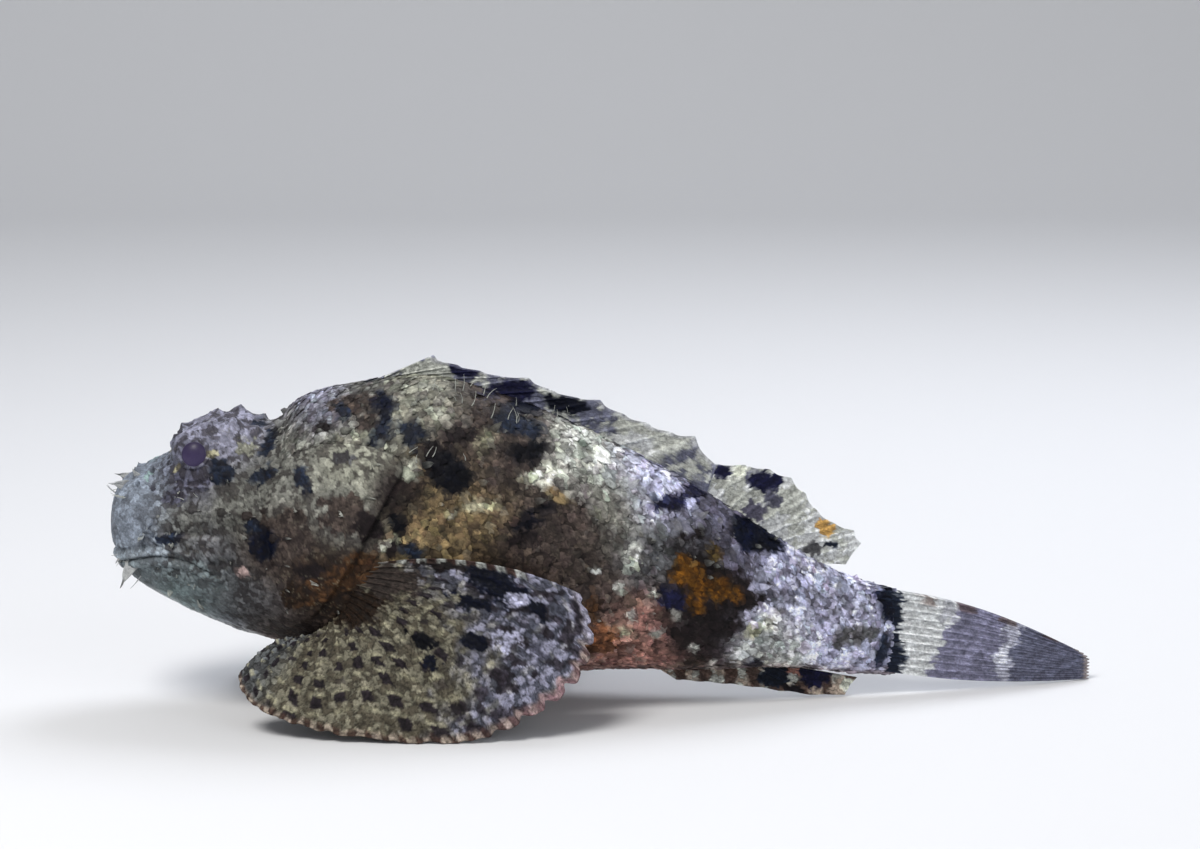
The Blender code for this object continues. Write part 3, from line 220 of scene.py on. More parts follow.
# Marks over the ground: x, z, half length, half height, turn, colour, raggedness.
MARKS = (
    (-87, 73, 2.9, 3.1, 0, "night", 0.5),        # temple
    (-93.3, 72, 3.4, 2, 0, "lichen", 1.2),
    (-66, 82.4, 5, 2, 12, "umber", 1.2),
    (-58, 76, 4, 2.4, 20, "night", 1.2),
    (-72, 78, 3, 1.6, 20, "mud", 1.2),
    (-68.5, 81, 2.4, 1.4, 10, "night", 1.2),
    (-64.5, 75.2, 4.4, 2.2, 15, "lichen", 1.3),
    (-66.5, 70, 2.6, 1.3, 20, "ash", 1.3),
    (-86.8, 65.9, 3.6, 1.7, 30, "night", 0.9),
    (-76.8, 63.5, 2.4, 3.8, 20, "night", 0.9),
    (-77.7, 55, 2.6, 2.4, 0, "umber", 1),
    (-82, 50.5, 7.5, 4.6, -10, "umber", 1.4),
    (-65.5, 54.5, 8.2, 5.2, 0, "umber", 1.3),        # lower part of the gill cover
    (-60, 53, 3.4, 3.4, 0, "mud", 1.2),
    (-98, 67, 3, 4.2, 25, "night", 0.6),       # behind and below the eye
    (-107, 63.4, 6, 3.6, 8, "plum", 0.6),
    (-112, 59, 4.6, 2, 15, "plum", 0.9),
    (-101.1, 71.2, 2.2, 1.2, 0, "cream", 0.7),
    (-111.3, 66.6, 1, 1.6, 0, "cream", 0.6),
    (-118.2, 62.9, 1.5, 0.9, 30, "shallow", 0.6),
    (-114.1, 47.9, 4.4, 1.7, -6, "night", 0.9),      # over the mouth
    (-101.6, 46.6, 3.2, 2.9, 0, "ash", 0.2),         # end of the jaw bone
    (-104, 38.5, 6, 3, -25, "teal", 0.9),
    (-93.5, 41.2, 1.8, 2.1, -20, "rose", 0.6),
    (-86.5, 48.4, 3.9, 3.5, 0, "navy", 0.6),         # cheek
    (-90.5, 52.5, 1.8, 1.5, 0, "night", 0.9),
    (-63, 42, 7, 4.4, 15, "russet", 1.3),      # breast
    (-73, 37, 6.5, 3.6, 20, "russet", 1.4),
    (-80, 36.5, 5, 3, 0, "rust", 1),
    (-76, 43, 3, 2, 20, "mud", 1),
    (-53.2, 54.6, 2.4, 2.9, 20, "ink", 0.5),         # behind the gill cover
    (-54.2, 47.4, 2.8, 3, 0, "mud", 0.8),
    (-53.6, 50.6, 1.3, 1, 0, "moss", 0.6),
    (-56.3, 48, 1.1, 1, 0, "chalk", 0.6),
    (-47.5, 47, 4, 2.2, 10, "night", 1),
    (-56.1, 81.7, 2.8, 3.4, 10, "navy", 0.8),        # nape
    (-49.6, 75.6, 3.9, 2.7, -20, "night", 0.7),
    (-62, 79, 3.4, 1.6, 10, "umber", 1),
    (-43, 71.4, 3.6, 1.7, 10, "mud", 1),
    (-44.5, 79.6, 3.6, 2, -10, "lichen", 1.1),
    (-38, 76, 4.2, 2.6, -10, "mud", 1.2),
    (-50.5, 68, 2.6, 2.6, 30, "lichen", 0.9),
    (-40, 65.8, 6.2, 5.2, -25, "ink", 0.5),        # shoulder
    (-31.3, 73.4, 4.6, 2.2, 25, "cream", 0.8),
    (-20.1, 71.2, 5.9, 3.2, 10, "ink", 0.6),
    (-26.5, 67, 4.4, 2.6, 30, "umber", 0.9),
    (-38, 52, 11, 6.2, 6, "tan", 0.8),
    (-33, 57.4, 6, 2.6, 12, "cream", 1),
    (-16.7, 54.2, 7.2, 1.9, 22, "ink", 0.7),
    (-20, 49, 5, 1.9, 10, "mud", 0.9),
    (-8.5, 52.4, 7.2, 6.2, 0, "umber", 1),
    (-12, 60, 4, 2, -20, "tan", 1),
    (-19.6, 81.4, 6, 1.7, 4, "navy", 0.6),         # foot of the dorsal fin
    (-7.7, 78.4, 5.8, 1.7, -14, "navy", 0.5),
    (-29.6, 84.3, 2.6, 1.3, -20, "indigo", 0.8),
    (-22, 77.4, 6, 1.8, -8, "night", 1),
    (-6.6, 71.6, 5.4, 4.8, 0, "bone", 0.8),          # pale saddle
    (-15.1, 64.9, 6, 4.2, 20, "chalk", 0.75),
    (7.1, 43.6, 2.2, 4.4, -25, "bone", 0.7),
    (17.9, 57.1, 5.8, 1.7, -2, "indigo", 0.7),
    (26.7, 58.2, 4.4, 1.3, -20, "indigo", 0.8),
    (30.3, 55, 3.8, 2.1, -15, "dusk", 0.9),
    (25, 48.4, 4.2, 1.3, 0, "mud", 0.9),
    (41.8, 47.3, 7.2, 4.3, -30, "navy", 0.55),       # rear flank
    (27.5, 33.2, 13.4, 10.6, -20, "mud", 0.65),      # round the orange patch
    (28.3, 22.6, 9.4, 3, 3, "mud", 0.9),
    (18.2, 32, 3.2, 4.4, 10, "indigo", 0.8),
    (36.5, 33, 2.4, 4.6, 10, "mud", 0.9),
    (22.6, 38, 5.4, 3.8, -20, "ochre", 1),
    (29.4, 33, 6.6, 3.8, -10, "ochre", 1),
    (25.6, 28.8, 3, 2.8, 0, "ochre", 1.1),
    (30.1, 43.2, 2.6, 2.1, 0, "olive", 0.9),
    (-1, 22, 5.6, 4.2, 20, "clay", 1.1),
    (-3, 29, 3.4, 2.6, 30, "russet", 1.2),
    (5.2, 34.2, 1.6, 1.6, 0, "bone", 0.5),           # pearls of the lower flank
    (13.7, 33.2, 1.7, 1.6, 0, "chalk", 0.5),
    (7.9, 28.6, 1.4, 1.4, 0, "bone", 0.5),
    (18.7, 25.5, 1.6, 1.6, 0, "bone", 0.5),
    (5.5, 23.6, 1.6, 1.4, 0, "cream", 0.5),
    (13.7, 22.1, 1.7, 1.3, 0, "bone", 0.5),
    (24.7, 16.6, 1.5, 2, 0, "bone", 0.5),
    (-2, 40, 1.5, 1.3, 0, "bone", 0.6),
    (23.8, 10.4, 1.9, 3, 0, "rust", 0.4),          # bars of the belly's edge
    (28.2, 10.4, 1.7, 3, 0, "bone", 0.4),
    (32.9, 10.5, 2.3, 2.6, 0, "umber", 0.6),
    (39.8, 9.8, 3, 3.8, 0, "navy", 0.7),
    (38.8, 20.4, 4, 2, 15, "moss", 0.6),
    (44.6, 23, 3, 2.2, 10, "chalk", 0.7),
    (77.2, 25.5, 3, 5.6, 8, "navy", 0.6),          # bar at the root of the tail
    (75.4, 12.5, 2.4, 4.4, -10, "night", 0.7),
    (68.5, 17, 4, 3, 0, "ash", 1),
)


def linear(colour):
    """Screen values 0 to 255 as light values 0 to 1."""
    c = np.asarray(colour, float) / 255
    return np.where(c <= 0.04045, c / 12.92, ((np.maximum(c, 0) + 0.055) / 1.055) ** 2.4)


def smooth(t):
    t = np.clip(t, 0.0, 1.0)
    return t * t * (3 - 2 * t)


def bell(t, power=2):
    """1 at 0, falling to 0 on both sides."""
    return np.exp(-(t**power))


def stacked(*parts):
    """Values of fitting shapes joined along a new last axis."""
    return np.stack(np.broadcast_arrays(*parts), -1)


def hashed(i, j, k, seed):
    """A fixed random number from 0 to 1 for each lattice point."""
    mask = 0xFFFFFFFF
    n = (i * 73856093) ^ (j * 19349663) ^ (k * 83492791) ^ (seed * 2654435761)
    n = ((n ^ (n >> 13)) & mask) * 1274126177 & mask
    n = ((n ^ (n >> 15)) & mask) * 2246822519 & mask
    return ((n ^ (n >> 16)) & 0xFFFF) / 65535.0


def noise(points, size, seed):
    """Smooth noise from 0 to 1 with lumps of about that size."""
    p = np.asarray(points, float) / size
    base = np.floor(p).astype(np.int64)
    f = p - base
    f = f * f * (3 - 2 * f)
    total = np.zeros(p.shape[:-1])
    for a in (0, 1):
        wa = f[..., 0] if a else 1 - f[..., 0]
        for b in (0, 1):
            wb = f[..., 1] if b else 1 - f[..., 1]
            for c in (0, 1):
                wc = f[..., 2] if c else 1 - f[..., 2]
                total += wa * wb * wc * hashed(base[..., 0] + a, base[..., 1] + b, base[..., 2] + c, seed)
    return total


def layered(points, size, seed, octaves=3, gain=0.55):
    total, weight, sum_of_weights = 0.0, 1.0, 0.0
    for octave in range(octaves):
        total = total + weight * noise(points, size / 2**octave, seed + 17 * octave)
        sum_of_weights += weight
        weight *= gain
    return total / sum_of_weights


def cells(points, size, seed):
    """Distances to the nearest two of scattered seeds, in cell sizes, and the nearest's draw and place."""
    p = np.asarray(points, float).reshape(-1, 3) / size
    base = np.floor(p).astype(np.int64)
    first, second = np.full(len(p), 9.0), np.full(len(p), 9.0)
    draw, spot = np.zeros(len(p)), np.zeros(p.shape)
    for step in range(27):
        i, j, k = base[:, 0] + step % 3 - 1, base[:, 1] + step // 3 % 3 - 1, base[:, 2] + step // 9 - 1
        here = np.stack([axis + hashed(i, j, k, seed + m) for m, axis in enumerate((i, j, k))], -1)
        distance = np.linalg.norm(p - here, axis=1)
        nearer = distance < first
        second = np.where(nearer, first, np.minimum(second, distance))
        draw = np.where(nearer, hashed(i, j, k, seed + 3), draw)
        spot = np.where(nearer[:, None], here, spot)
        first = np.where(nearer, distance, first)
    shape = np.asarray(points).shape[:-1]
    return first.reshape(shape), second.reshape(shape), draw.reshape(shape), (spot * size).reshape(*shape, 3)


def lobes_at(points, size, seed, wobble=0.45):
    """Cells with crooked borders."""
    points = np.asarray(points, float)
    coarse = np.stack([noise(points, size * 0.9, seed + 11 * k) for k in (1, 2, 3)], -1)
    small = np.stack([noise(points, size * 0.4, seed + 13 * k) for k in (1, 2, 3)], -1)
    return cells(points + wobble * size * (2 * coarse + small - 1.5), size, seed)


def smooth_curve(knots_x, knots_y, x):
    """Values at x of the smooth curve through the knots: cubic pieces with averaged slopes."""
    kx, ky = np.asarray(knots_x, float), np.asarray(knots_y, float)
    slopes = np.gradient(ky, kx)
    x = np.clip(x, kx[0], kx[-1])
    i = np.clip(np.searchsorted(kx, x, side="right") - 1, 0, len(kx) - 2)
    width = kx[i + 1] - kx[i]
    t = (x - kx[i]) / width
    start, end = ky[i], ky[i + 1]
    return (
        (2 * t**3 - 3 * t**2 + 1) * start
        + (t**3 - 2 * t**2 + t) * width * slopes[i]
        + (3 * t**2 - 2 * t**3) * end
        + (t**3 - t**2) * width * slopes[i + 1]
    )


def sections_at(x):
    table = np.array(SECTIONS)
    distance = np.sqrt(np.concatenate([[0.0], table[:, 0] - SNOUT_X]))
    here = np.sqrt(np.maximum(np.asarray(x, float) - SNOUT_X, 0.0))
    tip = (SNOUT_Z, SNOUT_Z, 0.0, SNOUT_Z)
    return [
        smooth_curve(distance, np.concatenate([[tip[k]], table[:, k + 1]]), here) for k in range(4)
    ]


def turned(x, z, form):
    """A place along and across a turned form (x, z, half length, half height, turn), in its half sizes."""
    cx, cz, length, height, turn = form[:5]
    c, s = math.cos(math.radians(turn)), math.sin(math.radians(turn))
    return ((x - cx) * c + (z - cz) * s) / length, ((z - cz) * c - (x - cx) * s) / height


def mounds(x, z, table):
    total = np.zeros(np.broadcast(x, z).shape)
    for form in table:
        along, across = turned(x, z, form)
        total = total + form[5] * np.exp(-(along**2) - across**2)
    return total


def crown_at(x, y):
    reach = bell((x - CROWN_X) / CROWN_REACH, 4)
    ridge = CROWN_RIDGE_RISE * bell((np.abs(y) - CROWN_RIDGE_Y) / CROWN_RIDGE_SPREAD)
    groove = CROWN_GROOVE_DEPTH * bell(y / CROWN_GROOVE_SPREAD)
    return reach * (ridge - groove)


def bent(points):
    """Carries points of the straight fish to the fish with its tail swung aside."""
    points = np.array(points, float)
    over = np.maximum(points[..., 0] - BEND_START_X, 0.0)
    turn = np.arctan(2 * BEND_RATE * over)
    offset = points[..., 1].copy()
    points[..., 0] = points[..., 0] - offset * np.sin(turn)
    points[..., 1] = BEND_RATE * over**2 + offset * np.cos(turn)
    return points


def body_surface(x, angle):
    """Points of the straight body. The angle runs from the back, round the left side, to the belly."""
    top, bottom, half_width, widest = sections_at(x)
    up, side = np.cos(angle), np.sin(angle)
    power = np.where(up > 0, UPPER_SQUARENESS, LOWER_SQUARENESS)
    rise = np.abs(up) ** (2 / power)
    spread = np.abs(side) ** (2 / power)
    z = widest + np.where(up > 0, top - widest, bottom - widest) * rise
    y = half_width * spread + mounds(x, z, SWELLINGS) * np.sqrt(spread)
    z = z + np.where(up > 0, crown_at(x, y), 0.0)
    return stacked(x, -np.sign(side) * y, z)


def flank(x, z, side):
    """Point of the straight body's side at that place of the side view."""
    top, bottom, half_width, widest = sections_at(x)
    upper = z > widest
    power = np.where(upper, UPPER_SQUARENESS, LOWER_SQUARENESS)
    share = np.clip(np.where(upper, (z - widest) / (top - widest), (widest - z) / (widest - bottom)), 0, 1)
    spread = (1 - share**power) ** (1 / power)
    y = half_width * spread + mounds(x, z, SWELLINGS) * np.sqrt(spread)
    return stacked(x, side * y, z)


def flank_normal(x, z, side):
    step = 0.6
    along = flank(x + step, z, side) - flank(x - step, z, side)
    up = flank(x, z + step, side) - flank(x, z - step, side)
    normal = np.cross(along, up) * -side
    return normal / np.linalg.norm(normal, axis=-1, keepdims=True)


def eye_frame(side):
    """Centre of the eye and the way it looks: out, a little up and forward."""
    look = np.array([-0.12, side * 1.0, 0.18])
    look /= np.linalg.norm(look)
    return flank(EYE_X, EYE_Z, side) - look * EYE_SUNK, look


def with_orbits(points):
    """Pushes points near an eye out to the dome of skin about it."""
    for side in (LEFT, RIGHT):
        centre, _ = eye_frame(side)
        away = points - centre
        distance = np.linalg.norm(away, axis=-1, keepdims=True)
        pushed = (distance**ORBIT_BLEND + ORBIT_RADIUS**ORBIT_BLEND) ** (1 / ORBIT_BLEND)
        points = centre + away * pushed / np.maximum(distance, 1e-6)
    return points


def on_skin(x, z, side):
    """Place and outward direction on the bent fish's side."""
    here, normal = with_orbits(flank(x, z, side)), flank_normal(x, z, side)
    place, ahead = bent(np.stack([here, here + normal]))
    return place, ahead - place


def crown_place(x, side):
    """Top of the bony ridge over the eye."""
    guess = body_surface(np.full(181, x), np.linspace(0.02, 1.2, 181))
    reach = CROWN_RIDGE_Y * min(1.0, (x - SNOUT_X) / 22)
    nearest = int(np.argmin(np.abs(np.abs(guess[:, 1]) - reach)))
    return with_orbits(np.array([x, side * abs(guess[nearest, 1]), guess[nearest, 2]]))


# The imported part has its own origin. The eye tells how far it lies from this script's.
_low, _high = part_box("eye_left")
SHIFT = np.array((_low + _high) / 2) / MM - eye_frame(LEFT)[0]


def cover_edge():
    """The gill cover's outline as reach from its middle against direction."""
    outline = np.array(COVER_OUTLINE)
    closed = np.vstack([outline[-2:], outline, outline[:3]])
    place = np.arange(-2, len(outline) + 3)
    fine = np.linspace(0, len(outline), 241)[:-1]
    edge = np.stack([smooth_curve(place, closed[:, k], fine) for k in range(2)], -1) - np.array(COVER_MIDDLE)
    direction = np.arctan2(edge[:, 1], edge[:, 0])
    order = np.argsort(direction)
    reach = np.linalg.norm(edge, axis=1)
    return direction[order], reach[order]


COVER_DIRECTION, COVER_REACH = cover_edge()


def inside_cover(x, z):
    """How far inside the edge of the gill cover a place of the side view is. Outside is negative."""
    dx, dz = x - COVER_MIDDLE[0], z - COVER_MIDDLE[1]
    edge = np.interp(np.arctan2(dz, dx), COVER_DIRECTION, COVER_REACH, period=2 * math.pi)
    return edge - np.hypot(dx, dz)


def mouth_height(x):
    line = np.array(MOUTH_LINE)
    return smooth_curve(line[:, 0], line[:, 1], x)


# Markings

MARK_EDGE = 0.3          # softness of the marks' edges


def mixed(colours, share, other):
    """Colours with a share of another one, given by its name or its values."""
    share = np.asarray(share)[..., None]
    return colours * (1 - share) + share * (PALETTE[other] if isinstance(other, str) else other)


def cover_with(colours, marks, x, z, rough, fine):
    """Lays ragged marks over the colours, one after the other."""
    for mark in marks:
        depth = 1 - np.hypot(*turned(x, z, mark)) + mark[6] * ((rough - 0.5) * 1.5 + (fine - 0.5) * 1.1)
        colours = mixed(colours, smooth(depth / MARK_EDGE + 0.4), mark[5])
    return colours


def painted(points, side):
    """Colour of one side by its zones and marks, as screen values."""
    draw = np.random.default_rng(40 + side)
    stray = 0.0 if side == LEFT else 1.0
    rough, fine = layered(points, 5.0, 109), layered(points, 1.9, 111)
    x = points[..., 0] + (noise(points, 9.0, 101) - 0.5) * 4.0 + (layered(points, 2.6, 103, 2) - 0.5) * 1.8
    z = points[..., 2] + (noise(points, 9.0, 105) - 0.5) * 3.0 + (layered(points, 2.6, 107, 2) - 0.5) * 1.8
    total, weight = np.zeros((*x.shape, 3)), np.full(x.shape, 1e-9)
    for zx, zz, reach, name in ZONES:
        zx, zz = zx + stray * draw.normal(0, 3.0), zz + stray * draw.normal(0, 1.6)
        w = np.exp(-1.15 * ((x - zx) ** 2 + (z - zz) ** 2) / reach**2)
        total += w[..., None] * PALETTE[name]
        weight += w
    colours = total / weight[..., None]
    moved = []
    for mx, mz, length, height, turn, name, ragged in MARKS:
        mx, mz = mx + stray * draw.normal(0, 4.0), mz + stray * draw.normal(0, 2.0)
        length = length * (1 + stray * draw.uniform(-0.25, 0.3))
        moved.append((mx, mz, length, height, turn + stray * draw.normal(0, 15.0), name, ragged))
    return cover_with(colours, moved, x, z, rough, fine)


def both_sides(points):
    """Colour of the ground and marks all round, with the paler underside, as screen values. Under the chin
    that pale is frost, a painted rim light.
    """
    x, y, z = np.moveaxis(points, -1, 0)
    colours = mixed(painted(points, RIGHT), smooth(0.5 - y / 8.0), painted(points, LEFT))
    _, bottom, _, widest = sections_at(x)
    # Toward the chin the pale underside is wider, stronger and frost-coloured: painted rim light along the
    # chin's lower edge.
    chin = smooth((-84 - x) / 10)
    under = smooth(1 - (z - bottom) / ((0.22 + 0.04 * chin) * (widest - bottom) + 0.1)) * (0.65 + 0.2 * chin)
    pale = 1 - 0.15 * smooth((layered(points, 2.2, 127) - 0.5) / 0.1)
    pale = mixed(PALETTE["rose"], chin, "frost") * pale[..., None]
    return mixed(colours, under * smooth((x + 125) / 8), pale)


def textured(points, lobes, crumbly=1.0):
    """Ground and marks broken up by lobes, pits, crumbs and fine lines, as screen values."""
    x, _, z = np.moveaxis(points, -1, 0)
    first, second, draw, spot = lobes
    snout = smooth((-112 - x) / 9)
    chin = smooth((40 - z) / 5) * smooth((-94 - x) / 6)
    calm = np.clip(1 - 0.60 * snout - 0.55 * chin, 0.25, 1)
    # Dark pits gather in clumps, pale crumbs between them.
    clump = layered(points, 4.2, 121)
    pit = smooth((0.40 + 0.9 * (0.5 - clump) - draw) / 0.10) * calm
    crumb = smooth((draw - 0.70 - 0.8 * (0.5 - clump)) / 0.10) * calm
    gap = smooth(1 - (second - first) / 0.20) * (0.25 + 0.30 * calm)
    shade = (1 + 0.22 * crumbly * crumb) * (1 - 0.34 * crumbly * gap)
    shade = shade * (1 + 0.22 * (noise(spot, 1.1, 143) - 0.5) * (0.5 + 0.5 * calm))
    shade = shade * (1 + 0.55 * snout * (layered(points, 2.4, 129, 3) - 0.5))
    shade = shade * (1 + 0.24 * (layered(points, 0.7, 125, 2) - 0.5))
    colours = mixed(both_sides(0.65 * spot + 0.35 * points), 0.46 * pit, "mud") * shade[..., None]
    # Hair-fine pale lines over the breast and below the eye.
    lines = 1 - smooth(np.abs(layered(points * (1, 1, 1.3), 4.6, 131, 4) - 0.5) / 0.014)
    breast = bell((x + 72) / 12) * bell((z - 38) / 9)
    return mixed(colours, lines * (0.16 + 0.30 * breast) * (1 - 0.7 * snout), "cream")


def markings(points, lobes=None):
    """Colour of the straight fish's skin at those points, as light values."""
    lobes = lobes_at(points, LOBE, 141) if lobes is None else lobes
    return linear(np.clip(textured(points, lobes), 2, 250))


# Meshes

def to_frame(points):
    """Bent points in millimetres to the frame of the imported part, in metres."""
    return (np.asarray(points, float).reshape(-1, 3) + SHIFT) * MM


def linked(name, data):
    made = bpy.data.objects.new(name, data)
    bpy.context.scene.collection.objects.link(made)
    return made


def mesh_object(name, points, faces, colours=None, bake_map=None, rims=None):
    """An object from bent points in millimetres. faces holds quads or triangles as one array.

    rims gives the points of one small form and the first and last of its rim, whose edges are sharp.
    """
    points = to_frame(points)
    points[:, 2] = np.maximum(points[:, 2], CAD_BOX[0][2] + 0.00002)
    faces = np.asarray(faces, np.int32)
    corners = faces.shape[1]
    mesh = bpy.data.meshes.new(name)
    mesh.vertices.add(len(points))
    mesh.vertices.foreach_set("co", points.astype(np.float32).ravel())
    mesh.loops.add(faces.size)
    mesh.loops.foreach_set("vertex_index", faces.ravel())
    mesh.polygons.add(len(faces))
    mesh.polygons.foreach_set("loop_start", np.arange(0, faces.size, corners, dtype=np.int32))
    mesh.polygons.foreach_set("loop_total", np.full(len(faces), corners, np.int32))
    mesh.polygons.foreach_set("use_smooth", np.ones(len(faces), bool))
    mesh.update(calc_edges=True)
    if rims is not None:
        ends = np.empty(2 * len(mesh.edges), np.int32)
        mesh.edges.foreach_get("vertices", ends)
        local = ends.reshape(-1, 2) % rims[0]
        sharp = ((local >= rims[1]) & (local < rims[2])).all(1)
        mesh.attributes.new("sharp_edge", "BOOLEAN", "EDGE").data.foreach_set("value", sharp)
    if colours is not None:
        layer = mesh.color_attributes.new("Markings", "FLOAT_COLOR", "POINT")
        rgba = np.ones((len(points), 4), np.float32)
        rgba[:, :3] = np.asarray(colours).reshape(-1, 3)
        layer.data.foreach_set("color", rgba.ravel())
    if bake_map is not None:
        layer = mesh.uv_layers.new(name="OFBake")
        layer.data.foreach_set("uv", np.asarray(bake_map, np.float32)[faces.ravel()].ravel())
    mesh.validate()
    return linked(name, mesh)


def dress(piece, look, slot, *nodes):
    """Gives a finished piece its material and body, and hides the nodes it stands for. slot is not used."""
    piece.data.materials.clear()
    piece.data.materials.append(look)
    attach(piece, "root")
    if nodes:
        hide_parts(*nodes)
    return piece


def grid_faces(rows, columns, closed=False):
    """Quads between a grid's points. If it is closed, its last column joins its first."""
    i = np.arange(rows - 1)[:, None]
    j = np.arange(columns if closed else columns - 1)[None, :]
    k = (j + 1) % columns
    quads = np.stack([i * columns + j, (i + 1) * columns + j, (i + 1) * columns + k, i * columns + k], -1)
    return quads.reshape(-1, 4)


def tube_faces(rows, columns, first, low, high):
    """Triangles of a tube whose grid starts at the point first, its ends drawn to the points low and high."""
    quads = grid_faces(rows, columns, True) + first
    j = first + np.arange(columns)
    k = np.roll(j, -1)
    end = (rows - 1) * columns
    return np.vstack([
        quads[:, [0, 1, 2]], quads[:, [0, 2, 3]], stacked(low, j, k), stacked(high, k + end, j + end),
    ])


def unit(v):
    return v / np.maximum(np.linalg.norm(v, axis=-1, keepdims=True), 1e-9)


# Skin

def jaw_bone(x, z):
    """How far inside the bone over the corner of the mouth a place is, along it and across it."""
    along, across = turned(x, z, MAXILLA)
    across = across / (1 + 0.4 * along.clip(-1, 1))
    return 1 - np.hypot(along, across), along, across


def cover_slit(points):
    """Share of the slit behind the gill cover's free edge, strongest at its upper corner."""
    x, _, z = np.moveaxis(points, -1, 0)
    free = smooth((x + 76) / 10) * (0.25 + 0.75 * smooth((z - 46) / 10))
    wander = 0.5 * (layered(points, 3.0, 231, 2) - 0.5)
    return free * bell((inside_cover(x, z) + 0.6 + wander) / 0.62)


def skin_relief(points, lobes):
    """Height of the fine forms over the solids' surface, on the straight fish."""
    x, y, z = np.moveaxis(points, -1, 0)
    height = mounds(x, z, FINE_SWELLINGS) * smooth(np.abs(y) / 6.0)
    # Lips and the line of the mouth between them.
    corner = MOUTH_LINE[-1][0]
    off = z - mouth_height(x)
    taper = np.sqrt(np.clip((corner - x) / 12.0, 0, 1))
    for middle in (LIP_APART, -LIP_APART):
        across = np.clip(1 - ((off - middle) / (LIP_RADIUS * 1.05)) ** 2, 0, 1)
        height = height + LIP_RADIUS * taper * np.sqrt(across) * 0.75
    height = height - 0.36 * taper**0.5 * bell(off / 0.34) * (x < corner)
    height = height - 0.35 * bell((off - 3.1) / 0.6) * taper
    # The jaw bone over the corner of the mouth, with a raised upper edge.
    inside, along, across = jaw_bone(x, z)
    height = height + MAXILLA[5] * 0.8 * smooth(inside / 0.30 + 0.25)
    height = height + 0.35 * bell((across - 0.72) / 0.16) * smooth((0.9 - np.abs(along)) / 0.2)
    height = height - 0.30 * bell((inside + 0.14) / 0.09)
    # Nostrils: a raised rim round a pit.
    for nx, nz, radius in NOSTRILS:
        away = np.hypot(x - nx, z - nz) / radius
        height = height + 0.45 * bell((away - 1.15) / 0.35) - 1.1 * bell(away / 0.72, 4)
    # The gill cover stands out most at its free hind edge.
    depth = inside_cover(x, z)
    free = smooth((x + 82) / 14)
    height = height + COVER_OUT * smooth(depth / (4.5 - 3.8 * free) + 0.5 * free)
    height = height - 0.50 * cover_slit(points)
    # Folds under the throat.
    throat = bell((x + 97) / 15, 4) * smooth((26 - z) / 6)
    height = height + throat * 0.32 * np.cos(y * 1.35 + 0.6 * np.sin(x * 0.12))
    # Crown: bumps between the ridges, and a pit behind them.
    crown = smooth((z - 70) / 4) * smooth((-78 - x) / 8)
    height = height + crown * (layered(points, 3.4, 201, 2) - 0.5) * 1.0
    pit = np.exp(-(((x + 84.5) / 3.6) ** 2) - ((y / 7.5) ** 2)) * smooth((z - 66) / 6)
    height = height - 1.2 * pit
    # Lobes, crust and wrinkles.
    head = smooth((-80 - x) / 10)
    calm = smooth((-114 - x) / 8) * 0.65 + 0.6 * smooth((38 - z) / 5) * head
    calm = np.clip(calm + 0.55 * crown, 0, 0.85)
    first, second, draw, _ = lobes
    rounded = smooth((second - first) / 0.55)
    height = height + (0.24 * rounded * (0.4 + draw) - 0.10) * (1 - 0.75 * calm)
    lumps = layered(points, 4.0, 203, 2) - 0.5
    crust = layered(points, 1.1, 205, 3) - 0.5
    height = height + (0.8 * lumps + 0.34 * crust) * (1 - 0.55 * calm)
    creases = 1 - smooth(np.abs(layered(points * (1, 1, 0.6), 5.0, 213, 3) - 0.5) / 0.02)
    return height - 0.20 * creases * head


def socketed(points, height):
    """Draws the skin in at the opening of the lids and gives the lids their edge."""
    for side in (LEFT, RIGHT):
        centre, look = eye_frame(side)
        away = points - centre
        distance = np.linalg.norm(away, axis=-1)
        ahead = away @ look
        across = np.sqrt(np.maximum(distance**2 - ahead**2, 0.0))
        near = (ahead > 0) & (distance < ORBIT_RADIUS + 3.0) & (across < 8.0)
        rim = LID_OPENING + 0.22 * (layered(points, 1.6, 221, 2) - 0.5)
        thin = ORBIT_RADIUS - 0.62 * smooth((6.4 - across) / 2.2)
        bead = 0.26 * bell((across - rim - 0.42) / 0.32)
        bead = bead - 0.14 * bell((across - rim - 1.25) / 0.3)
        folds = 0.08 * np.sin(across * 5.2 + 2 * layered(points, 2.0, 223, 2)) * smooth((across - 5.0) / 0.6)
        crust = 0.30 * (layered(points, 1.0, 225, 2) - 0.5) * smooth((across - rim) / 0.8)
        within = smooth((rim - across) / 0.32)
        radius = (thin + bead + folds + crust) * (1 - within) + (EYE_RADIUS - 0.5) * within
        lid = smooth((6.6 - across) / 1.0)[..., None] * near[..., None]
        wanted = centre + unit(away) * radius[..., None]
        points = points * (1 - lid) + wanted * lid
        height = height * (1 - smooth((7.2 - across) / 1.8) * near * 0.92)
    return points, height


def with_lumps(base, points):
    """Draws the skin out into broad blunt cones at the roots of the head's spines."""
    for side in (LEFT, RIGHT):
        for x, length, radius, direction in CROWN_SPINES:
            place = crown_place(x, side)
            points = raised(base, points, place, mirrored(direction, side), length, radius * 2.3)
        for x, z, length, radius, direction in SIDE_SPINES:
            place = with_orbits(flank(np.array([x]), np.array([z]), side))[0]
            points = raised(base, points, place, mirrored(direction, side), 0.36 * length, radius * 1.9)
    return points


def raised(base, points, place, direction, length, reach):
    near = np.clip(1 - np.linalg.norm(base - place, axis=-1) / reach, 0, 1)
    return points + (length * near**1.5)[..., None] * unit(np.array(direction, float))


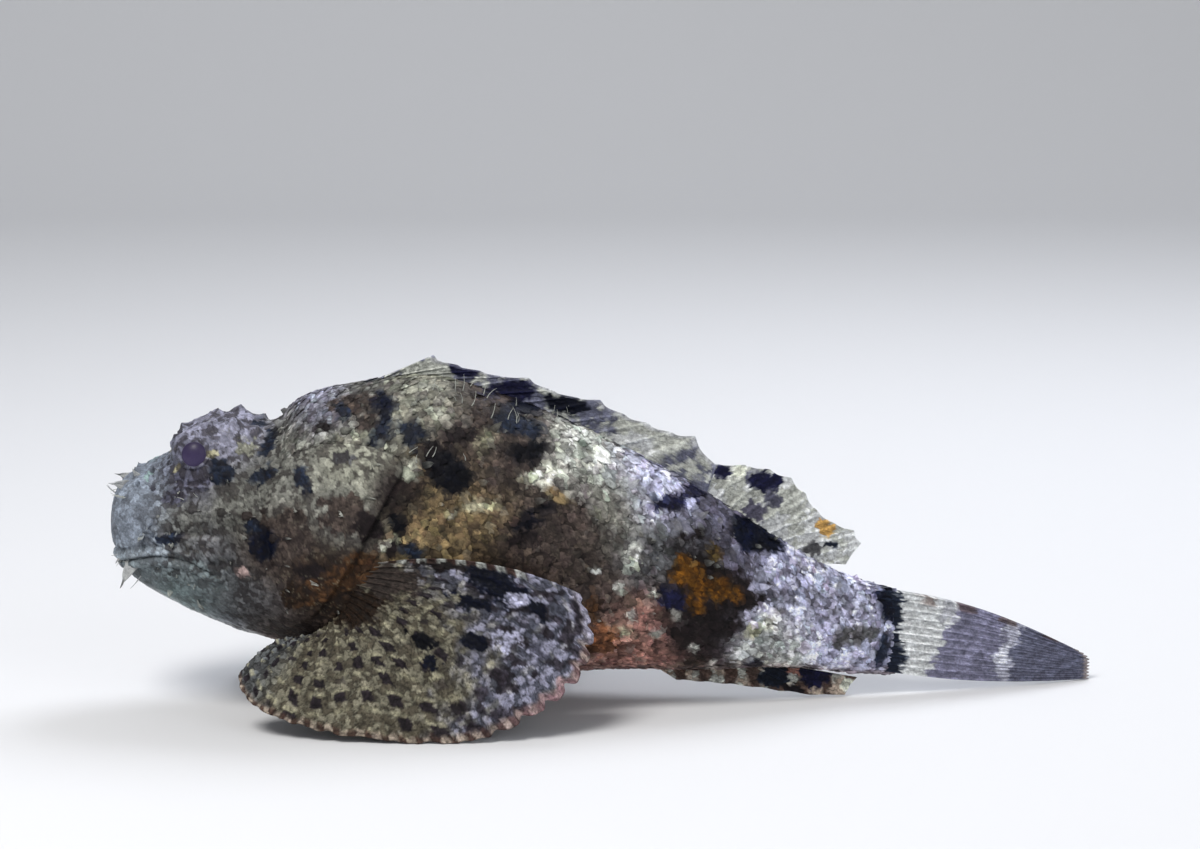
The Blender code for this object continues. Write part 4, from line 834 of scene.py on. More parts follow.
def make_skin():
    """The whole skin as one closed loft, with its coat depth taken off where scales lie."""
    head_x = SNOUT_X + (HEAD_END_X - SNOUT_X) * (np.arange(1, HEAD_RINGS + 1) / HEAD_RINGS) ** 1.45
    body_x = np.linspace(HEAD_END_X, STALK_END_X, BODY_RINGS + 1)[1:]
    x = np.concatenate([head_x, body_x])
    angle = 2 * math.pi * np.arange(SKIN_SIDES) / SKIN_SIDES
    smooth_grid = with_orbits(body_surface(x[:, None], angle[None, :]))
    along = np.gradient(smooth_grid, axis=0)
    around = np.roll(smooth_grid, -1, axis=1) - np.roll(smooth_grid, 1, axis=1)
    normal = unit(np.cross(around, along))
    away = smooth_grid * (0, 1, 1) - (0, 0, BODY_MIDDLE_Z)
    normal = normal * np.sign(np.median(np.sum(normal * away, -1)))
    lobes = lobes_at(smooth_grid, LOBE, 141)
    covered = scaled_share(smooth_grid)
    height = skin_relief(smooth_grid, lobes) * (1 - 0.5 * covered) - COAT_DEPTH * covered
    base, height = socketed(smooth_grid, height)
    fade = smooth((STALK_END_X - x) / 2.0)[:, None] * smooth((x - SNOUT_X) / 0.8)[:, None]
    grid = with_lumps(base, base + normal * (height * fade)[..., None])
    colours = markings(smooth_grid, lobes)
    # Painted shade darkens the skin under the scales; the relief adds painted shade and highlights.
    colours = colours * (painted_light_of_relief(smooth_grid, height) * (1 - 0.30 * covered))[..., None]
    ends = [[[SNOUT_X, 0.0, SNOUT_Z]], [[STALK_END_X + 0.6, 0.0, 17.6]]]
    points = np.vstack([ends[0], grid.reshape(-1, 3), ends[1]])
    tints = np.vstack([colours[0, :1], colours.reshape(-1, 3), colours[-1, :1]])
    triangles = tube_faces(len(x), SKIN_SIDES, 1, 0, len(points) - 1)
    unwrap = np.zeros((len(points), 2))
    unwrap[1:-1, 0] = np.repeat(unwrap_u(x), SKIN_SIDES)
    unwrap[1:-1, 1] = np.tile(angle / (2 * math.pi), len(x))
    return mesh_object("skin", bent(points), triangles, tints, unwrap)


def unwrap_u(x):
    """Place along the unwrap of the body."""
    return 0.02 + 0.96 * (np.asarray(x, float) - SNOUT_X) / (STALK_END_X + 1.0 - SNOUT_X)


def painted_light_of_relief(points, height):
    """Painted light from the relief: shade in the hollows, the mouth's line and the gill cover's slit,
    highlights on crests, lip edges, the jaw bone's edge and the ridge under the eye.
    """
    x, _, z = np.moveaxis(points, -1, 0)
    off = z - mouth_height(x)
    behind = smooth((MOUTH_LINE[-1][0] - x) / 3)
    # Painted shade along the mouth's line; painted highlights on the upper lip's edge and the jaw bone's
    # upper edge.
    mouth_shade = bell(off / 0.5) * behind
    lip_highlight = bell((off - 1.3) / 0.6) * behind * smooth((-110 - x) / 4)
    _, along, across = jaw_bone(x, z)
    edge = bell((across - 0.8) / 0.16) * smooth((0.95 - np.abs(along)) / 0.2)
    # A painted highlight along the thin ridge under the eye.
    ridge_highlight = np.exp(-(((z - 61.9 - 0.04 * (x + 106)) / 0.22) ** 2) - (((x + 105.4) / 3.6) ** 4))
    # Painted shade in the hollows and the slit behind the gill cover, painted highlights on the crests.
    shade = np.clip(1 + 0.30 * (height - 0.15), 0.6, 1.3) * (1 - 0.24 * mouth_shade)
    shade = shade * (1 - 0.34 * cover_slit(points))
    return shade * (1 + 0.60 * lip_highlight + 0.60 * edge + 1.2 * ridge_highlight)


# Scales

def scaled_share(points):
    """1 where scales cover the skin, 0 on the bare head."""
    x, _, z = np.moveaxis(points, -1, 0)
    nape = smooth((x + 86) / 3) * smooth((z - 66) / 3)
    breast = smooth((x + 78) / 3) * smooth((25 - z) / 3)
    behind = smooth((x + 66) / 3) * smooth((-0.3 - inside_cover(x, z)) / 0.6)
    share = np.clip(nape + breast + behind, 0, 1) * smooth((-0.3 - inside_cover(x, z)) / 0.6)
    return share * smooth((79.5 - x) / 2)


def scale_places():
    """Rows of scales from the nape to the tail: place along and around, size."""
    draw = np.random.default_rng(7)
    rows = []
    x = -86.0
    row = 0
    while x < 78.5:
        pitch = SCALE_PITCH * (0.70 + 0.30 * smooth((x + 84) / 34)) * (1 - 0.20 * smooth((x - 20) / 50))
        angle = np.linspace(0, 2 * math.pi, 721)
        ring = body_surface(np.full(721, x), angle)
        steps = np.concatenate([[0], np.cumsum(np.linalg.norm(np.diff(ring, axis=0), axis=1))])
        count = max(8, int(round(steps[-1] / pitch)))
        place = (np.arange(count) + 0.5 * (row % 2) + draw.normal(0, 0.2, count)) / count
        around = np.interp((place % 1.0) * steps[-1], steps, angle)
        here = x + draw.normal(0, 0.22, count) * pitch
        size = pitch * draw.lognormal(0.03, 0.22, count)
        rows.append(np.stack([here, around, size], -1))
        x += pitch * 0.80
        row += 1
    return np.vstack(rows)


def make_scales(look):
    """Overlapping scales like lobed, domed petals, each lying tailward on the skin."""
    places = scale_places()
    root = body_surface(places[:, 0], places[:, 1])
    keep = scaled_share(root) > 0.6
    places, root = places[keep], root[keep]
    x, angle, size = places[:, 0], places[:, 1], places[:, 2]
    ahead = unit(body_surface(x + 0.5, angle) - body_surface(x - 0.5, angle))
    across = unit(body_surface(x, angle + 0.02) - body_surface(x, angle - 0.02))
    normal = unit(np.cross(across, ahead))
    middle = stacked(x, 0, sections_at(x)[3])
    normal = normal * np.sign(np.sum(normal * (root - middle), -1, keepdims=True))
    draw = np.random.default_rng(11)
    count = len(root)
    twist = draw.normal(0, 0.45, count)[:, None]
    c, s = np.cos(twist), np.sin(twist)
    ahead, across = ahead * c + across * s, across * c - ahead * s
    # Outline: an oval with a few lobes, most at its free hind edge.
    turn = 2 * math.pi * np.arange(SCALE_SPOKES) / SCALE_SPOKES
    free = (0.5 + 0.5 * np.cos(turn))[None]
    number = draw.integers(3, 7, count)[:, None]
    lobed = 0.16 * np.cos(number * turn[None] + draw.uniform(0, 6.3, (count, 1)))
    lobed = lobed + draw.normal(0, 0.10, (count, SCALE_SPOKES))
    reach = (1 + lobed * (0.3 + 0.7 * free))[:, None]
    rings = np.array([0.42, 0.78, 1.0])[None, :, None]
    run = (rings * reach) * np.cos(turn)
    side_way = (rings * reach) * np.sin(turn)
    length, width = size * draw.uniform(0.78, 0.92, count), size * draw.uniform(0.62, 0.76, count)
    lift = draw.uniform(0.02, 0.30, count)[:, None, None]
    tilt = -0.24 + (0.30 + lift) * smooth((run + 1) / 1.7)
    dome = 0.11 * (1 - rings**2) - 0.04 * smooth((rings - 0.8) / 0.2)
    ribs = 0.04 * np.cos(turn * 7)[None, None] * rings
    rise = tilt + dome + ribs
    peak = -0.24 + (0.30 + lift[:, :, 0]) * smooth(1 / 1.7) + 0.11
    heart = root - normal * (COAT_DEPTH - 0.02) + ahead * (0.25 * length)[:, None]
    steps = (length[:, None, None] * run)[..., None], (width[:, None, None] * side_way)[..., None]
    up = normal[:, None, None]
    cap = heart[:, None, None] + ahead[:, None, None] * steps[0] + across[:, None, None] * steps[1]
    cap = cap + up * rise[..., None]
    top = heart + normal * peak
    below = heart - normal * 0.55
    points = np.concatenate([top[:, None], cap.reshape(count, -1, 3), below[:, None]], 1)
    # One colour to a scale, a little of the place's own, with painted shade at the root, where the scale
    # ahead covers it, along the very edge and under the scale.
    tone = draw.lognormal(0, 0.12, (count, 1)) * (1 + 0.7 * (layered(root, 5.0, 245, 2)[:, None] - 0.5))
    base = both_sides(root) * tone * (1 + draw.normal(0, 0.03, (count, 3)))
    kind = draw.uniform(size=count)
    clump = layered(root, 6.0, 241)
    belly = smooth((30 - root[:, 2]) / 10) * smooth((30 - x) / 15)
    darker = (kind < 0.05 + 0.26 * smooth((0.52 - clump) / 0.1))[:, None]
    base = np.where(darker, base * 0.45 + 0.55 * PALETTE["mud"], base)
    paler = (kind > 0.95 - 0.05 * belly - 0.05 * smooth((clump - 0.5) / 0.1))[:, None]
    on_dark = smooth((base.mean(-1, keepdims=True) - 40) / 40)
    base = np.where(paler, base + 0.5 * on_dark * (PALETTE["bone"] - base), base)
    here = textured(points, lobes_at(points, LOBE, 141), 1.5)
    colours = 0.36 * base[:, None] + 0.64 * here * (0.4 + 0.6 * tone[:, None])
    # Painted shade: darker at the covered root, along the rim and at the point under the scale; a little
    # lighter just inside the rim.
    painted_scale_shade = np.array([1.0, 1.05, 0.90])[None, :, None] * (0.84 + 0.18 * smooth((run + 0.9) / 0.9))
    shade = np.concatenate([np.full((count, 1), 0.98), painted_scale_shade.reshape(count, -1), np.full((count, 1), 0.4)], 1)
    shade = shade * (1 + 0.5 * (layered(points, 0.9, 243, 2) - 0.5))
    colours = linear(np.clip(colours * shade[..., None], 2, 250))
    spokes = SCALE_SPOKES
    k = np.arange(spokes)
    m = (k + 1) % spokes
    faces = [stacked(0, 1 + k, 1 + m)]
    for ring in range(2):
        a, b = 1 + ring * spokes, 1 + (ring + 1) * spokes
        faces += [stacked(a + k, b + k, b + m), stacked(a + k, b + m, a + m)]
    outer, under = 1 + 2 * spokes, 1 + 3 * spokes
    faces.append(stacked(outer + m, outer + k, under))
    one = np.vstack(faces)
    total = 2 + 3 * spokes
    spread_u = np.concatenate([[0.0], (rings[0] * np.cos(turn)).ravel(), [0.0]]) * PATCH * 0.5
    spread_v = np.concatenate([[0.0], (rings[0] * np.sin(turn)).ravel(), [0.0]]) * PATCH * 0.5
    patch = np.stack([unwrap_u(x)[:, None] + spread_u, (angle / (2 * math.pi))[:, None] + spread_v], -1)
    order = np.argsort(x, kind="stable")
    for part, start in enumerate(range(0, count, SCALE_PIECE)):
        chosen = order[start:start + SCALE_PIECE]
        pieces = (one[None] + (total * np.arange(len(chosen)))[:, None, None]).reshape(-1, 3)
        piece = mesh_object(
            f"scales_{part + 1}", bent(points[chosen].reshape(-1, 3)), pieces,
            colours[chosen].reshape(-1, 3), patch[chosen].reshape(-1, 2), (total, outer, under),
        )
        dress(piece, look, "body_skin")


# Spines and flaps

# On each side of the crown: x, length, root radius, direction (x, out, z)
CROWN_SPINES = (
    (-122.8, 1.5, 1, (-0.7, 0.1, 1)),
    (-110.8, 2, 1.6, (-0.3, 0.3, 1)),
    (-103.5, 1.8, 1.4, (0.5, 0.2, 1)),
    (-97.3, 2.1, 1.4, (0.5, 0.15, 1)),
    (-91, 1.8, 1.4, (0.8, 0.15, 1)),
    (-84, 1.7, 1.2, (1, 0.1, 0.8)),
)
# On each side: x, z, length, root radius, direction (x, out, z)
SIDE_SPINES = (
    (-106, 56.2, 2, 1, (1, 0.9, 0.1)),
    (-98, 56, 2.4, 1.1, (1, 0.9, 0.1)),
    (-91.5, 55.4, 2.6, 1.1, (1, 0.8, 0.1)),
    (-113, 50.8, 2.2, 1, (0.1, 0.8, -1)),
    (-118.5, 51.6, 1.9, 0.9, (-0.5, 0.8, -0.9)),
    (-84, 50, 5, 1.4, (1, 0.75, 0.1)),
    (-83.5, 43.5, 4, 1.2, (0.9, 0.8, -0.2)),
    (-83, 37.5, 3.5, 1.1, (0.7, 0.8, -0.5)),
    (-82.5, 32, 3, 1.1, (0.4, 0.8, -0.9)),
    (-60.5, 68.8, 4.3, 1.2, (1, 0.45, 0.15)),
    (-62, 61.5, 4.3, 1.2, (1, 0.45, -0.25)),
    (-66, 77, 2.6, 1.1, (1, 0.5, 0.5)),
)
SPINE_SLIMNESS = 0.62
# On each side: x, z, length, width, direction (x, out, z)
LARGE_FLAPS = (
    (-120.5, 48.5, 3, 1.4, (-0.3, 0.8, -0.8)),
    (-112.5, 47.8, 3.6, 1.7, (0.2, 0.8, -0.9)),
    (-105, 74.6, 2, 1, (0.4, 0.5, 1)),
    (-97.5, 63.5, 1.8, 1.1, (0.6, 0.9, 0.2)),
    (-93.5, 50, 2.2, 1.2, (0.6, 0.9, -0.2)),
    (-84, 76, 2, 1.1, (0.8, 0.5, 0.8)),
    (-113.5, 33.5, 3, 1.5, (0.1, 0.8, -0.8)),
    (-106, 31, 3, 1.5, (0.3, 0.8, -0.7)),
    (-80, 57.5, 3.2, 1.5, (0.8, 0.8, 0.1)),
    (-76, 39, 3.6, 1.6, (0.7, 0.8, -0.4)),
    (-68, 57, 3.2, 1.5, (0.9, 0.7, -0.1)),
)
# Pale tapering flaps about the snout and the mouth, in the same terms.
SNOUT_FLAPS = (
    (-126, 60.4, 4.6, 2.2, (-1, 0.25, 0.12)),
    (-126.8, 59.4, 3, 1.4, (-1, 0.3, 0.5)),
    (-123.6, 40.2, 7.4, 4.2, (-0.52, 0.25, -0.9)),
    (-126.4, 41.6, 2.6, 1.6, (-0.9, 0.3, -0.6)),
    (-122.6, 62.6, 2.4, 2, (-0.7, 0.25, 0.9)),
)
# Fine feelers: x, z, length, direction.
FEELERS = (
    (-129.4, 57, 3, (-0.8, 0.12, 0.60)),
    (-121.6, 36.6, 4.2, (-0.6, 0.3, -0.9)),
    (-127, 42.4, 2.4, (-0.9, 0.3, -0.2)),
)
LATERAL_LINE = ((-50, 70), (-20, 60), (20, 44), (52, 28))
LATERAL_FLAPS = 7
BACK_FLAPS, BACK_FLAP_START_X, BACK_FLAP_STEP = 5, -46, 18
FLAP_LENGTH, FLAP_WIDTH = 2.8, 2
SMALL_FLAPS_HEAD, SMALL_FLAPS_BODY = 80, 150
# Pale hairs in bunches: x, z, number, length, spread of their places.
HAIRS = (
    (-39.5, 85, 5, 4.6, 2.2),
    (-31, 83.5, 4, 4, 2),
    (-22.5, 79, 6, 4.4, 2.6),
    (-10, 77.5, 4, 3.6, 2),
    (-46, 70.5, 5, 3.6, 3.4),
    (-110.5, 61, 6, 2.2, 3),
    (-126.5, 57.5, 4, 3, 0.8),
    (-125.5, 40, 4, 3, 1.2),
)


def frame_about(direction, broad):
    direction = unit(np.array(direction, float))
    broad = np.array(broad, float)
    broad = unit(broad - direction * broad.dot(direction))
    return direction, broad, np.cross(direction, broad)


def mirrored(direction, side):
    return (direction[0], side * direction[1], direction[2])


class Gather:
    """Collects many small closed forms into one mesh."""

    def __init__(self):
        self.points, self.faces, self.tints, self.patches, self.count = [], [], [], [], 0

    def add(self, grid, tints, place):
        """A tube of rows by columns, its first and last row closed to points of the row's middle."""
        rows, columns = grid.shape[:2]
        points = np.vstack([grid.reshape(-1, 3), grid[0].mean(0)[None], grid[-1].mean(0)[None]])
        tints = np.vstack([tints.reshape(-1, 3), tints[0].mean(0)[None], tints[-1].mean(0)[None]])
        low = rows * columns
        triangles = tube_faces(rows, columns, 0, low, low + 1)
        self.points.append(points)
        self.faces.append(triangles + self.count)
        self.tints.append(tints)
        u = float(unwrap_u(place[0]))
        v = round(math.atan2(-place[1], place[2] - BODY_MIDDLE_Z) / (2 * math.pi), 9) % 1.0
        spread = np.linspace(0, PATCH, len(points))
        self.patches.append(np.stack([u + spread, v + spread[::-1]], -1))
        self.count += len(points)

    def finish(self, name):
        parts = [np.vstack(table) for table in (self.points, self.faces, self.tints, self.patches)]
        return mesh_object(name, *parts)


def ring_points(centres, across, over, wide, thick, sides):
    turn = 2 * math.pi * np.arange(sides) / sides
    return (
        centres[:, None] + across * (wide[:, None] * np.cos(turn)[None])[..., None]
        + over * (thick[:, None] * np.sin(turn)[None])[..., None]
    )


def add_spine(gather, place, direction, length, radius, tint):
    """A spine in its skin: broad at the root, curved back a little, worn pale at the very tip."""
    ahead, broad, over = frame_about(direction, (0.0, 1.0, 0.1))
    share = np.concatenate([[-1.2 / length], np.linspace(0, 1, 12)])
    up = share.clip(0)
    back_way = np.array([1.0, 0.0, 0.0]) - ahead * ahead[0]
    centres = place + ahead * (share * length)[:, None] + back_way * (0.12 * length * up**2)[:, None]
    width = SPINE_SLIMNESS * radius * ((1 - up) ** 0.8 * 0.72 + 0.9 * np.exp(-up * 5)) + 0.05
    width[0] = width[1] * 1.15
    grid = ring_points(centres, broad, over, width, width, 14)
    grid = grid + unit(grid - centres[:, None]) * (0.16 * radius * (noise(grid, 0.8, 305) - 0.5))[..., None]
    mix = smooth((up - 0.55) / 0.45)[:, None, None] * 0.4
    grain = (0.7 + 0.6 * noise(grid, 0.6, 301))[..., None]
    gather.add(grid, (tint * (1 - mix) + linear(PALETTE["bone"]) * mix) * grain, place)


def add_flap(gather, place, direction, broad, length, width, tint, draw, fringe=3, taper=0.0, pale=0.30):
    """A leaf of skin with a slit, fringed end, thin and bent."""
    ahead, broad, over = frame_about(direction, broad)
    rows, columns = (12, 11) if length > 2.5 else (8, 7)
    s = np.concatenate([[-0.25], np.linspace(0, 1, rows - 1)])
    c = np.linspace(-1, 1, columns)
    up = s.clip(0)
    half = 0.95 - 0.60 * up + 0.30 * np.sin(math.pi * up)
    half = width / 2 * (half * (1 - taper) + taper * (1 - 0.94 * up**0.8))
    phase = draw.uniform(0, 2 * math.pi)
    shorter = (0.42 - 0.26 * taper) * (0.5 + 0.5 * np.cos(c * math.pi * fringe + phase)) + 0.22 * c**2
    along = s[:, None] * (1 - shorter[None] * smooth((s[:, None] - 0.35) / 0.65))
    bow = (0.3 - 0.2 * taper) * length * up**2 * draw.choice([-1, 1])
    wave = 0.10 * width * np.sin(c * 4.0 + phase)[None] * up[:, None]
    centre = (
        place + ahead * (along * length)[..., None] + broad * (half[:, None] * c[None])[..., None]
        + over * (bow[:, None] + wave)[..., None]
    )
    thick = 0.17 * (1 - 0.55 * up)[:, None] * (1 - 0.75 * c**2)[None] + 0.03
    front, back = centre + over * thick[..., None], centre - over * thick[..., None]
    grid = np.concatenate([front, back[:, ::-1]], 1)
    mix = ((pale if length > 2.5 else 0.05) + (0.12 + 0.8 * pale) * smooth(s))[:, None, None]
    shade = tint * (1 - mix) + linear(PALETTE["bone"]) * mix
    gather.add(grid, shade * (0.75 + 0.5 * noise(grid, 0.7, 303))[..., None], place)


def add_thread(gather, place, direction, length, radius, tint, draw, bow=0.3):
    """A thin tapering filament."""
    ahead, broad, over = frame_about(direction, (0.1, 0.4, 1.0))
    share = np.concatenate([[-0.15], np.linspace(0, 1, 8)])
    aside = unit(broad * draw.normal(0, 1) + over * draw.normal(0, 1))
    centres = place + ahead * (share * length)[:, None] + aside * (bow * length * share.clip(0) ** 2)[:, None]
    width = radius * (1 - 0.8 * share.clip(0)) + 0.02
    grid = ring_points(centres, broad, over, width, width, 6)
    gather.add(grid, np.ones((9, 6, 1)) * tint, place)


def tint_at(x, z, side):
    return markings(flank(np.array([x]), np.array([z]), side))[0]


def add_body_flap(flaps, x, z, side, lean, size, draw):
    """One of the upright flaps along the flank and the back."""
    place, normal = on_skin(x, z, side)
    way, broad = normal * 0.8 + np.array(lean), (0, 0.2 * side, 1)
    tint = tint_at(x, z, side)
    add_flap(flaps, place, way, broad, size * FLAP_LENGTH, FLAP_WIDTH, tint, draw, 3, 0.3, 0.06)


def add_small_tags(flaps, draw):
    """Small tags of skin over the cheeks and the flanks."""
    stretches = ((SMALL_FLAPS_HEAD, -122.0, -80.0, 1.2), (SMALL_FLAPS_BODY, -80.0, 62.0, 1.6))
    for number, low_x, high_x, big in stretches:
        x = draw.uniform(low_x, high_x, number)
        angle = draw.choice([-1, 1], number) * draw.uniform(0.55 if big < 1.4 else 0.25, 2.3, number)
        root = with_orbits(body_surface(x, angle))
        tailward = unit(body_surface(x + 0.4, angle) - body_surface(x - 0.4, angle))
        around = unit(body_surface(x, angle + 0.02) - body_surface(x, angle - 0.02))
        normal = np.cross(around, tailward)
        middle = stacked(x, 0, BODY_MIDDLE_Z)
        normal = normal * np.sign(np.sum(normal * (root - middle), -1, keepdims=True))
        tints = markings(root)
        clear = np.ones(number, bool)
        for side in (LEFT, RIGHT):
            clear &= np.linalg.norm(root - eye_frame(side)[0], axis=1) > ORBIT_RADIUS + 1.2
        for k in np.flatnonzero(clear):
            length = big * draw.uniform(0.5, 1.15)
            place = root[k] - normal[k] * 0.2
            way = unit(normal[k] * draw.uniform(0.4, 0.9) + tailward[k] * 0.9)
            start, ahead, aside = bent(np.stack([place, place + way, place + around[k]]))
            tint = tints[k] * draw.uniform(0.8, 1.3)
            if draw.uniform() < 0.45:
                add_thread(flaps, start, ahead - start, length, 0.13, tint, draw)
            else:
                add_flap(flaps, start, ahead - start, aside - start, length, length * 0.7, tint, draw, 2)


def make_growths(look_spine, look_flap):
    """Spines of the head, the large flaps and threads, the pale hairs and the small tags."""
    spines, flaps = Gather(), Gather()
    draw = np.random.default_rng(23)
    hair_tint, cool = linear((172, 174, 166)), linear(PALETTE["frost"]) * 0.62
    for side in (LEFT, RIGHT):
        for x, length, radius, direction in CROWN_SPINES:
            place = crown_place(x, side)
            add_spine(spines, place, mirrored(direction, side), length, radius, markings(place[None])[0])
        for x, z, length, radius, direction in SIDE_SPINES:
            place = on_skin(x, z, side)[0]
            add_spine(spines, place, mirrored(direction, side), length, radius, tint_at(x, z, side))
        for x, z, length, width, direction in LARGE_FLAPS:
            place = on_skin(x, z, side)[0]
            broad = (0, 0.3 * side, 1) if abs(direction[2]) < 0.8 else (1, 0, 0.1)
            way = mirrored(direction, side)
            tint = tint_at(x, z, side)
            add_flap(flaps, place, way, broad, length, width, tint, draw, int(draw.integers(2, 4)))
            for k in range(2):
                start = place + draw.normal(0, 0.3, 3)
                spread = np.array(way) + draw.normal(0, 0.35, 3)
                add_thread(flaps, start, spread, length * draw.uniform(0.4, 0.75), 0.14, tint * 1.3, draw)
        for x, z, length, width, direction in SNOUT_FLAPS:
            place = on_skin(x, z, side)[0]
            broad = (0.3, 0.2 * side, 1) if abs(direction[2]) < 0.8 else (1, 0.2 * side, 0.1)
            way = mirrored(direction, side)
            add_flap(flaps, place, way, broad, length, width, cool, draw, 2, 0.85, 0.0)
        for x, z, length, direction in FEELERS:
            place = on_skin(x, z, side)[0]
            add_thread(flaps, place, mirrored(direction, side), length, 0.17, cool, draw, 0.12)
        line = np.array(LATERAL_LINE)
        for k in range(LATERAL_FLAPS):
            x = line[0, 0] + (line[-1, 0] - line[0, 0]) * (k + 0.3) / LATERAL_FLAPS
            z = float(smooth_curve(line[:, 0], line[:, 1], x))
            add_body_flap(flaps, x, z, side, (0.9, 0, 0.1), 1.1 - 0.2 * (k % 2), draw)
        for k in range(BACK_FLAPS):
            x = BACK_FLAP_START_X + BACK_FLAP_STEP * k
            z = float(sections_at(x)[0]) - 6.5 - 1.5 * (k % 2)
            add_body_flap(flaps, x, z, side, (0.8, 0, 0.5), 1 + 0.25 * (k % 2), draw)
        for x, z, number, length, spread in HAIRS:
            for k in range(number):
                start, out = on_skin(x + spread * draw.normal(), z + 0.4 * spread * draw.normal(), side)
                lean = np.array([-0.5 if x < -120 else 0.3, 0.0, 0.9 if z > 62 else -0.2])
                way = out * 0.7 + lean + draw.normal(0, 0.35, 3)
                add_thread(flaps, start, way, length * draw.uniform(0.45, 1.0), 0.12, hair_tint, draw, 0.4)
    add_small_tags(flaps, draw)
    dress(spines.finish("head_spines"), look_spine, "head_skin")
    dress(flaps.finish("skin_flaps"), look_flap, "body_skin")


# Fins

def ridge_of(place, out, split_from=None, sharp=0.13):
    """Height share of the rays at a place across the fin in ray counts, out along it. Rays may fork."""
    off = place - np.round(place)
    if split_from is None:
        return bell(off / sharp)
    fork = 0.21 * smooth((out - split_from) / 0.3)
    return np.maximum(bell((off - fork) / sharp), bell((off + fork) / sharp))


def fin_object(name, node_name, grid, half, tints, look, bump, slot="fin_skin", side=LEFT):
    """A thin closed sheet about a fin's grid, mirrored for the right side, ridged by its half thickness."""
    centre = bent(grid * (1, -side, 1))
    normal = unit(np.cross(np.gradient(centre, axis=0), np.gradient(centre, axis=1)))
    rough = bump * (layered(centre, 1.2, 401, 3) - 0.5)
    front = centre + normal * (half + rough)[..., None]
    back = centre - normal * (half - rough)[..., None]
    columns, rows = centre.shape[:2]
    count = columns * rows
    quads = grid_faces(columns, rows)
    index = np.arange(count).reshape(columns, rows)
    rim = np.concatenate([index[:, 0], index[-1, 1:], index[-2::-1, -1], index[0, -2:0:-1]])
    after = np.roll(rim, -1)
    faces = np.vstack([quads, quads[:, ::-1] + count, stacked(after, rim, rim + count, after + count)])
    u, v = np.meshgrid(np.linspace(0.01, 0.49, columns), np.linspace(0.01, 0.99, rows), indexing="ij")
    unwrap = np.stack([np.concatenate([u.ravel(), u.ravel() + 0.5]), np.tile(v.ravel(), 2)], -1)
    points = np.concatenate([front.reshape(-1, 3), back.reshape(-1, 3)])
    points[:, 2] = np.maximum(points[:, 2], CAD_BOX[0][2] / MM - SHIFT[2] + 0.03)
    piece = mesh_object(name, points, faces, np.tile(tints.reshape(-1, 3), (2, 1)), unwrap)
    dress(piece, look, slot, node_name)


def petal_height(lobes, tall):
    """Each lobe of a fin is a low dome, some higher than others."""
    first, second, draw, _ = lobes
    return tall * smooth((second - first) / 0.5) * (0.35 + 0.65 * draw) * (1 - 0.4 * first)


def finished(colours, places, lobes, crest, seed, outline=0.28, range_of_tone=0.26):
    """Gives each lobe its tone and a dark outline, and the rays a lighter tone along their crests. Returns
    light values.
    """
    first, second, draw, _ = lobes
    gap = smooth(1 - (second - first) / 0.22)
    speck = 1 + 0.32 * (layered(places, 0.8, seed, 2) - 0.5)
    shade = (1 + range_of_tone * (draw - 0.5)) * speck * (1 - outline * gap) * (0.92 + 0.20 * crest)
    return linear(np.clip(colours * shade[..., None], 2, 250))


def mottled(places, lobes, marks, ground, dark, seed):
    """Ground of two colours in patches with marks over it, each lobe of one colour, as screen values."""
    where = 0.7 * lobes[3] + 0.3 * places
    rough, fine = layered(where, 4.0, seed), layered(where, 1.5, seed + 2)
    colours = mixed(PALETTE[dark], smooth((rough + 0.22 * (lobes[2] - 0.5) - 0.42) / 0.16), ground)
    return cover_with(colours, marks, where[..., 0], where[..., 2], rough, fine)


PECTORAL_RAYS = 19
PECTORAL_ROOT_LOW = (-76, 20.5)
PECTORAL_ROOT_HIGH = (-55, 44)
PECTORAL_MIDDLE = (-48, -29.5)
PECTORAL_REACH = (46, 14.5)
PECTORAL_SWEEP = 1.12
PECTORAL_FRONT_LIFT = 14.5
PECTORAL_REAR_LIFT = 36
PECTORAL_TOUCH = 0.52
PECTORAL_ARCH = 8.5
PECTORAL_LOBE = 1.7
PECTORAL_ROWS = 7.6      # rows of spots from root to rim
# Marks on the pectoral fin: share across, share out, half sizes, turn, colour, raggedness.
PECTORAL_MARKS = (
    (0.52, 0.04, 0.20, 0.15, 0, "rust", 0.8),
    (0.82, 0.06, 0.14, 0.14, 0, "umber", 0.9),
    (0.94, 0.54, 0.080, 0.15, 0, "navy", 0.9),
    (0.83, 0.45, 0.035, 0.10, 0, "navy", 0.9),
    (0.98, 0.28, 0.045, 0.13, 0, "mud", 0.9),
    (0.61, 0.45, 0.034, 0.09, 0, "ink", 1.2),
    (0.57, 0.57, 0.020, 0.05, 0, "navy", 1.2),
    (0.70, 0.58, 0.020, 0.06, 0, "navy", 1.3),
    (0.89, 0.74, 0.026, 0.05, 0, "navy", 1.4),
    (0.78, 0.80, 0.022, 0.05, 0, "plum", 0.9),
    (0.90, 0.63, 0.030, 0.05, 0, "frill", 1.3),
    (0.76, 0.68, 0.040, 0.06, 0, "frill", 1.3),
)


def bezier(start, middle, end, share):
    return start * (1 - share) ** 2 + 2 * middle * share * (1 - share) + end * share**2


def at_lobes(place, out, grid, lobes, share=0.7):
    """Place across and share out of each point's lobe rather than of the point."""
    toward = (lobes[3] - grid) * share
    across = np.gradient(grid, axis=0) / np.gradient(place, axis=0)[..., None]
    along = np.gradient(grid, axis=1) / np.gradient(out, axis=1)[..., None]
    moved = [np.sum(toward * way, -1) / np.maximum(np.sum(way**2, -1), 1e-6) for way in (across, along)]
    return place + moved[0].clip(-1.5, 1.5), out + moved[1].clip(-0.2, 0.2)


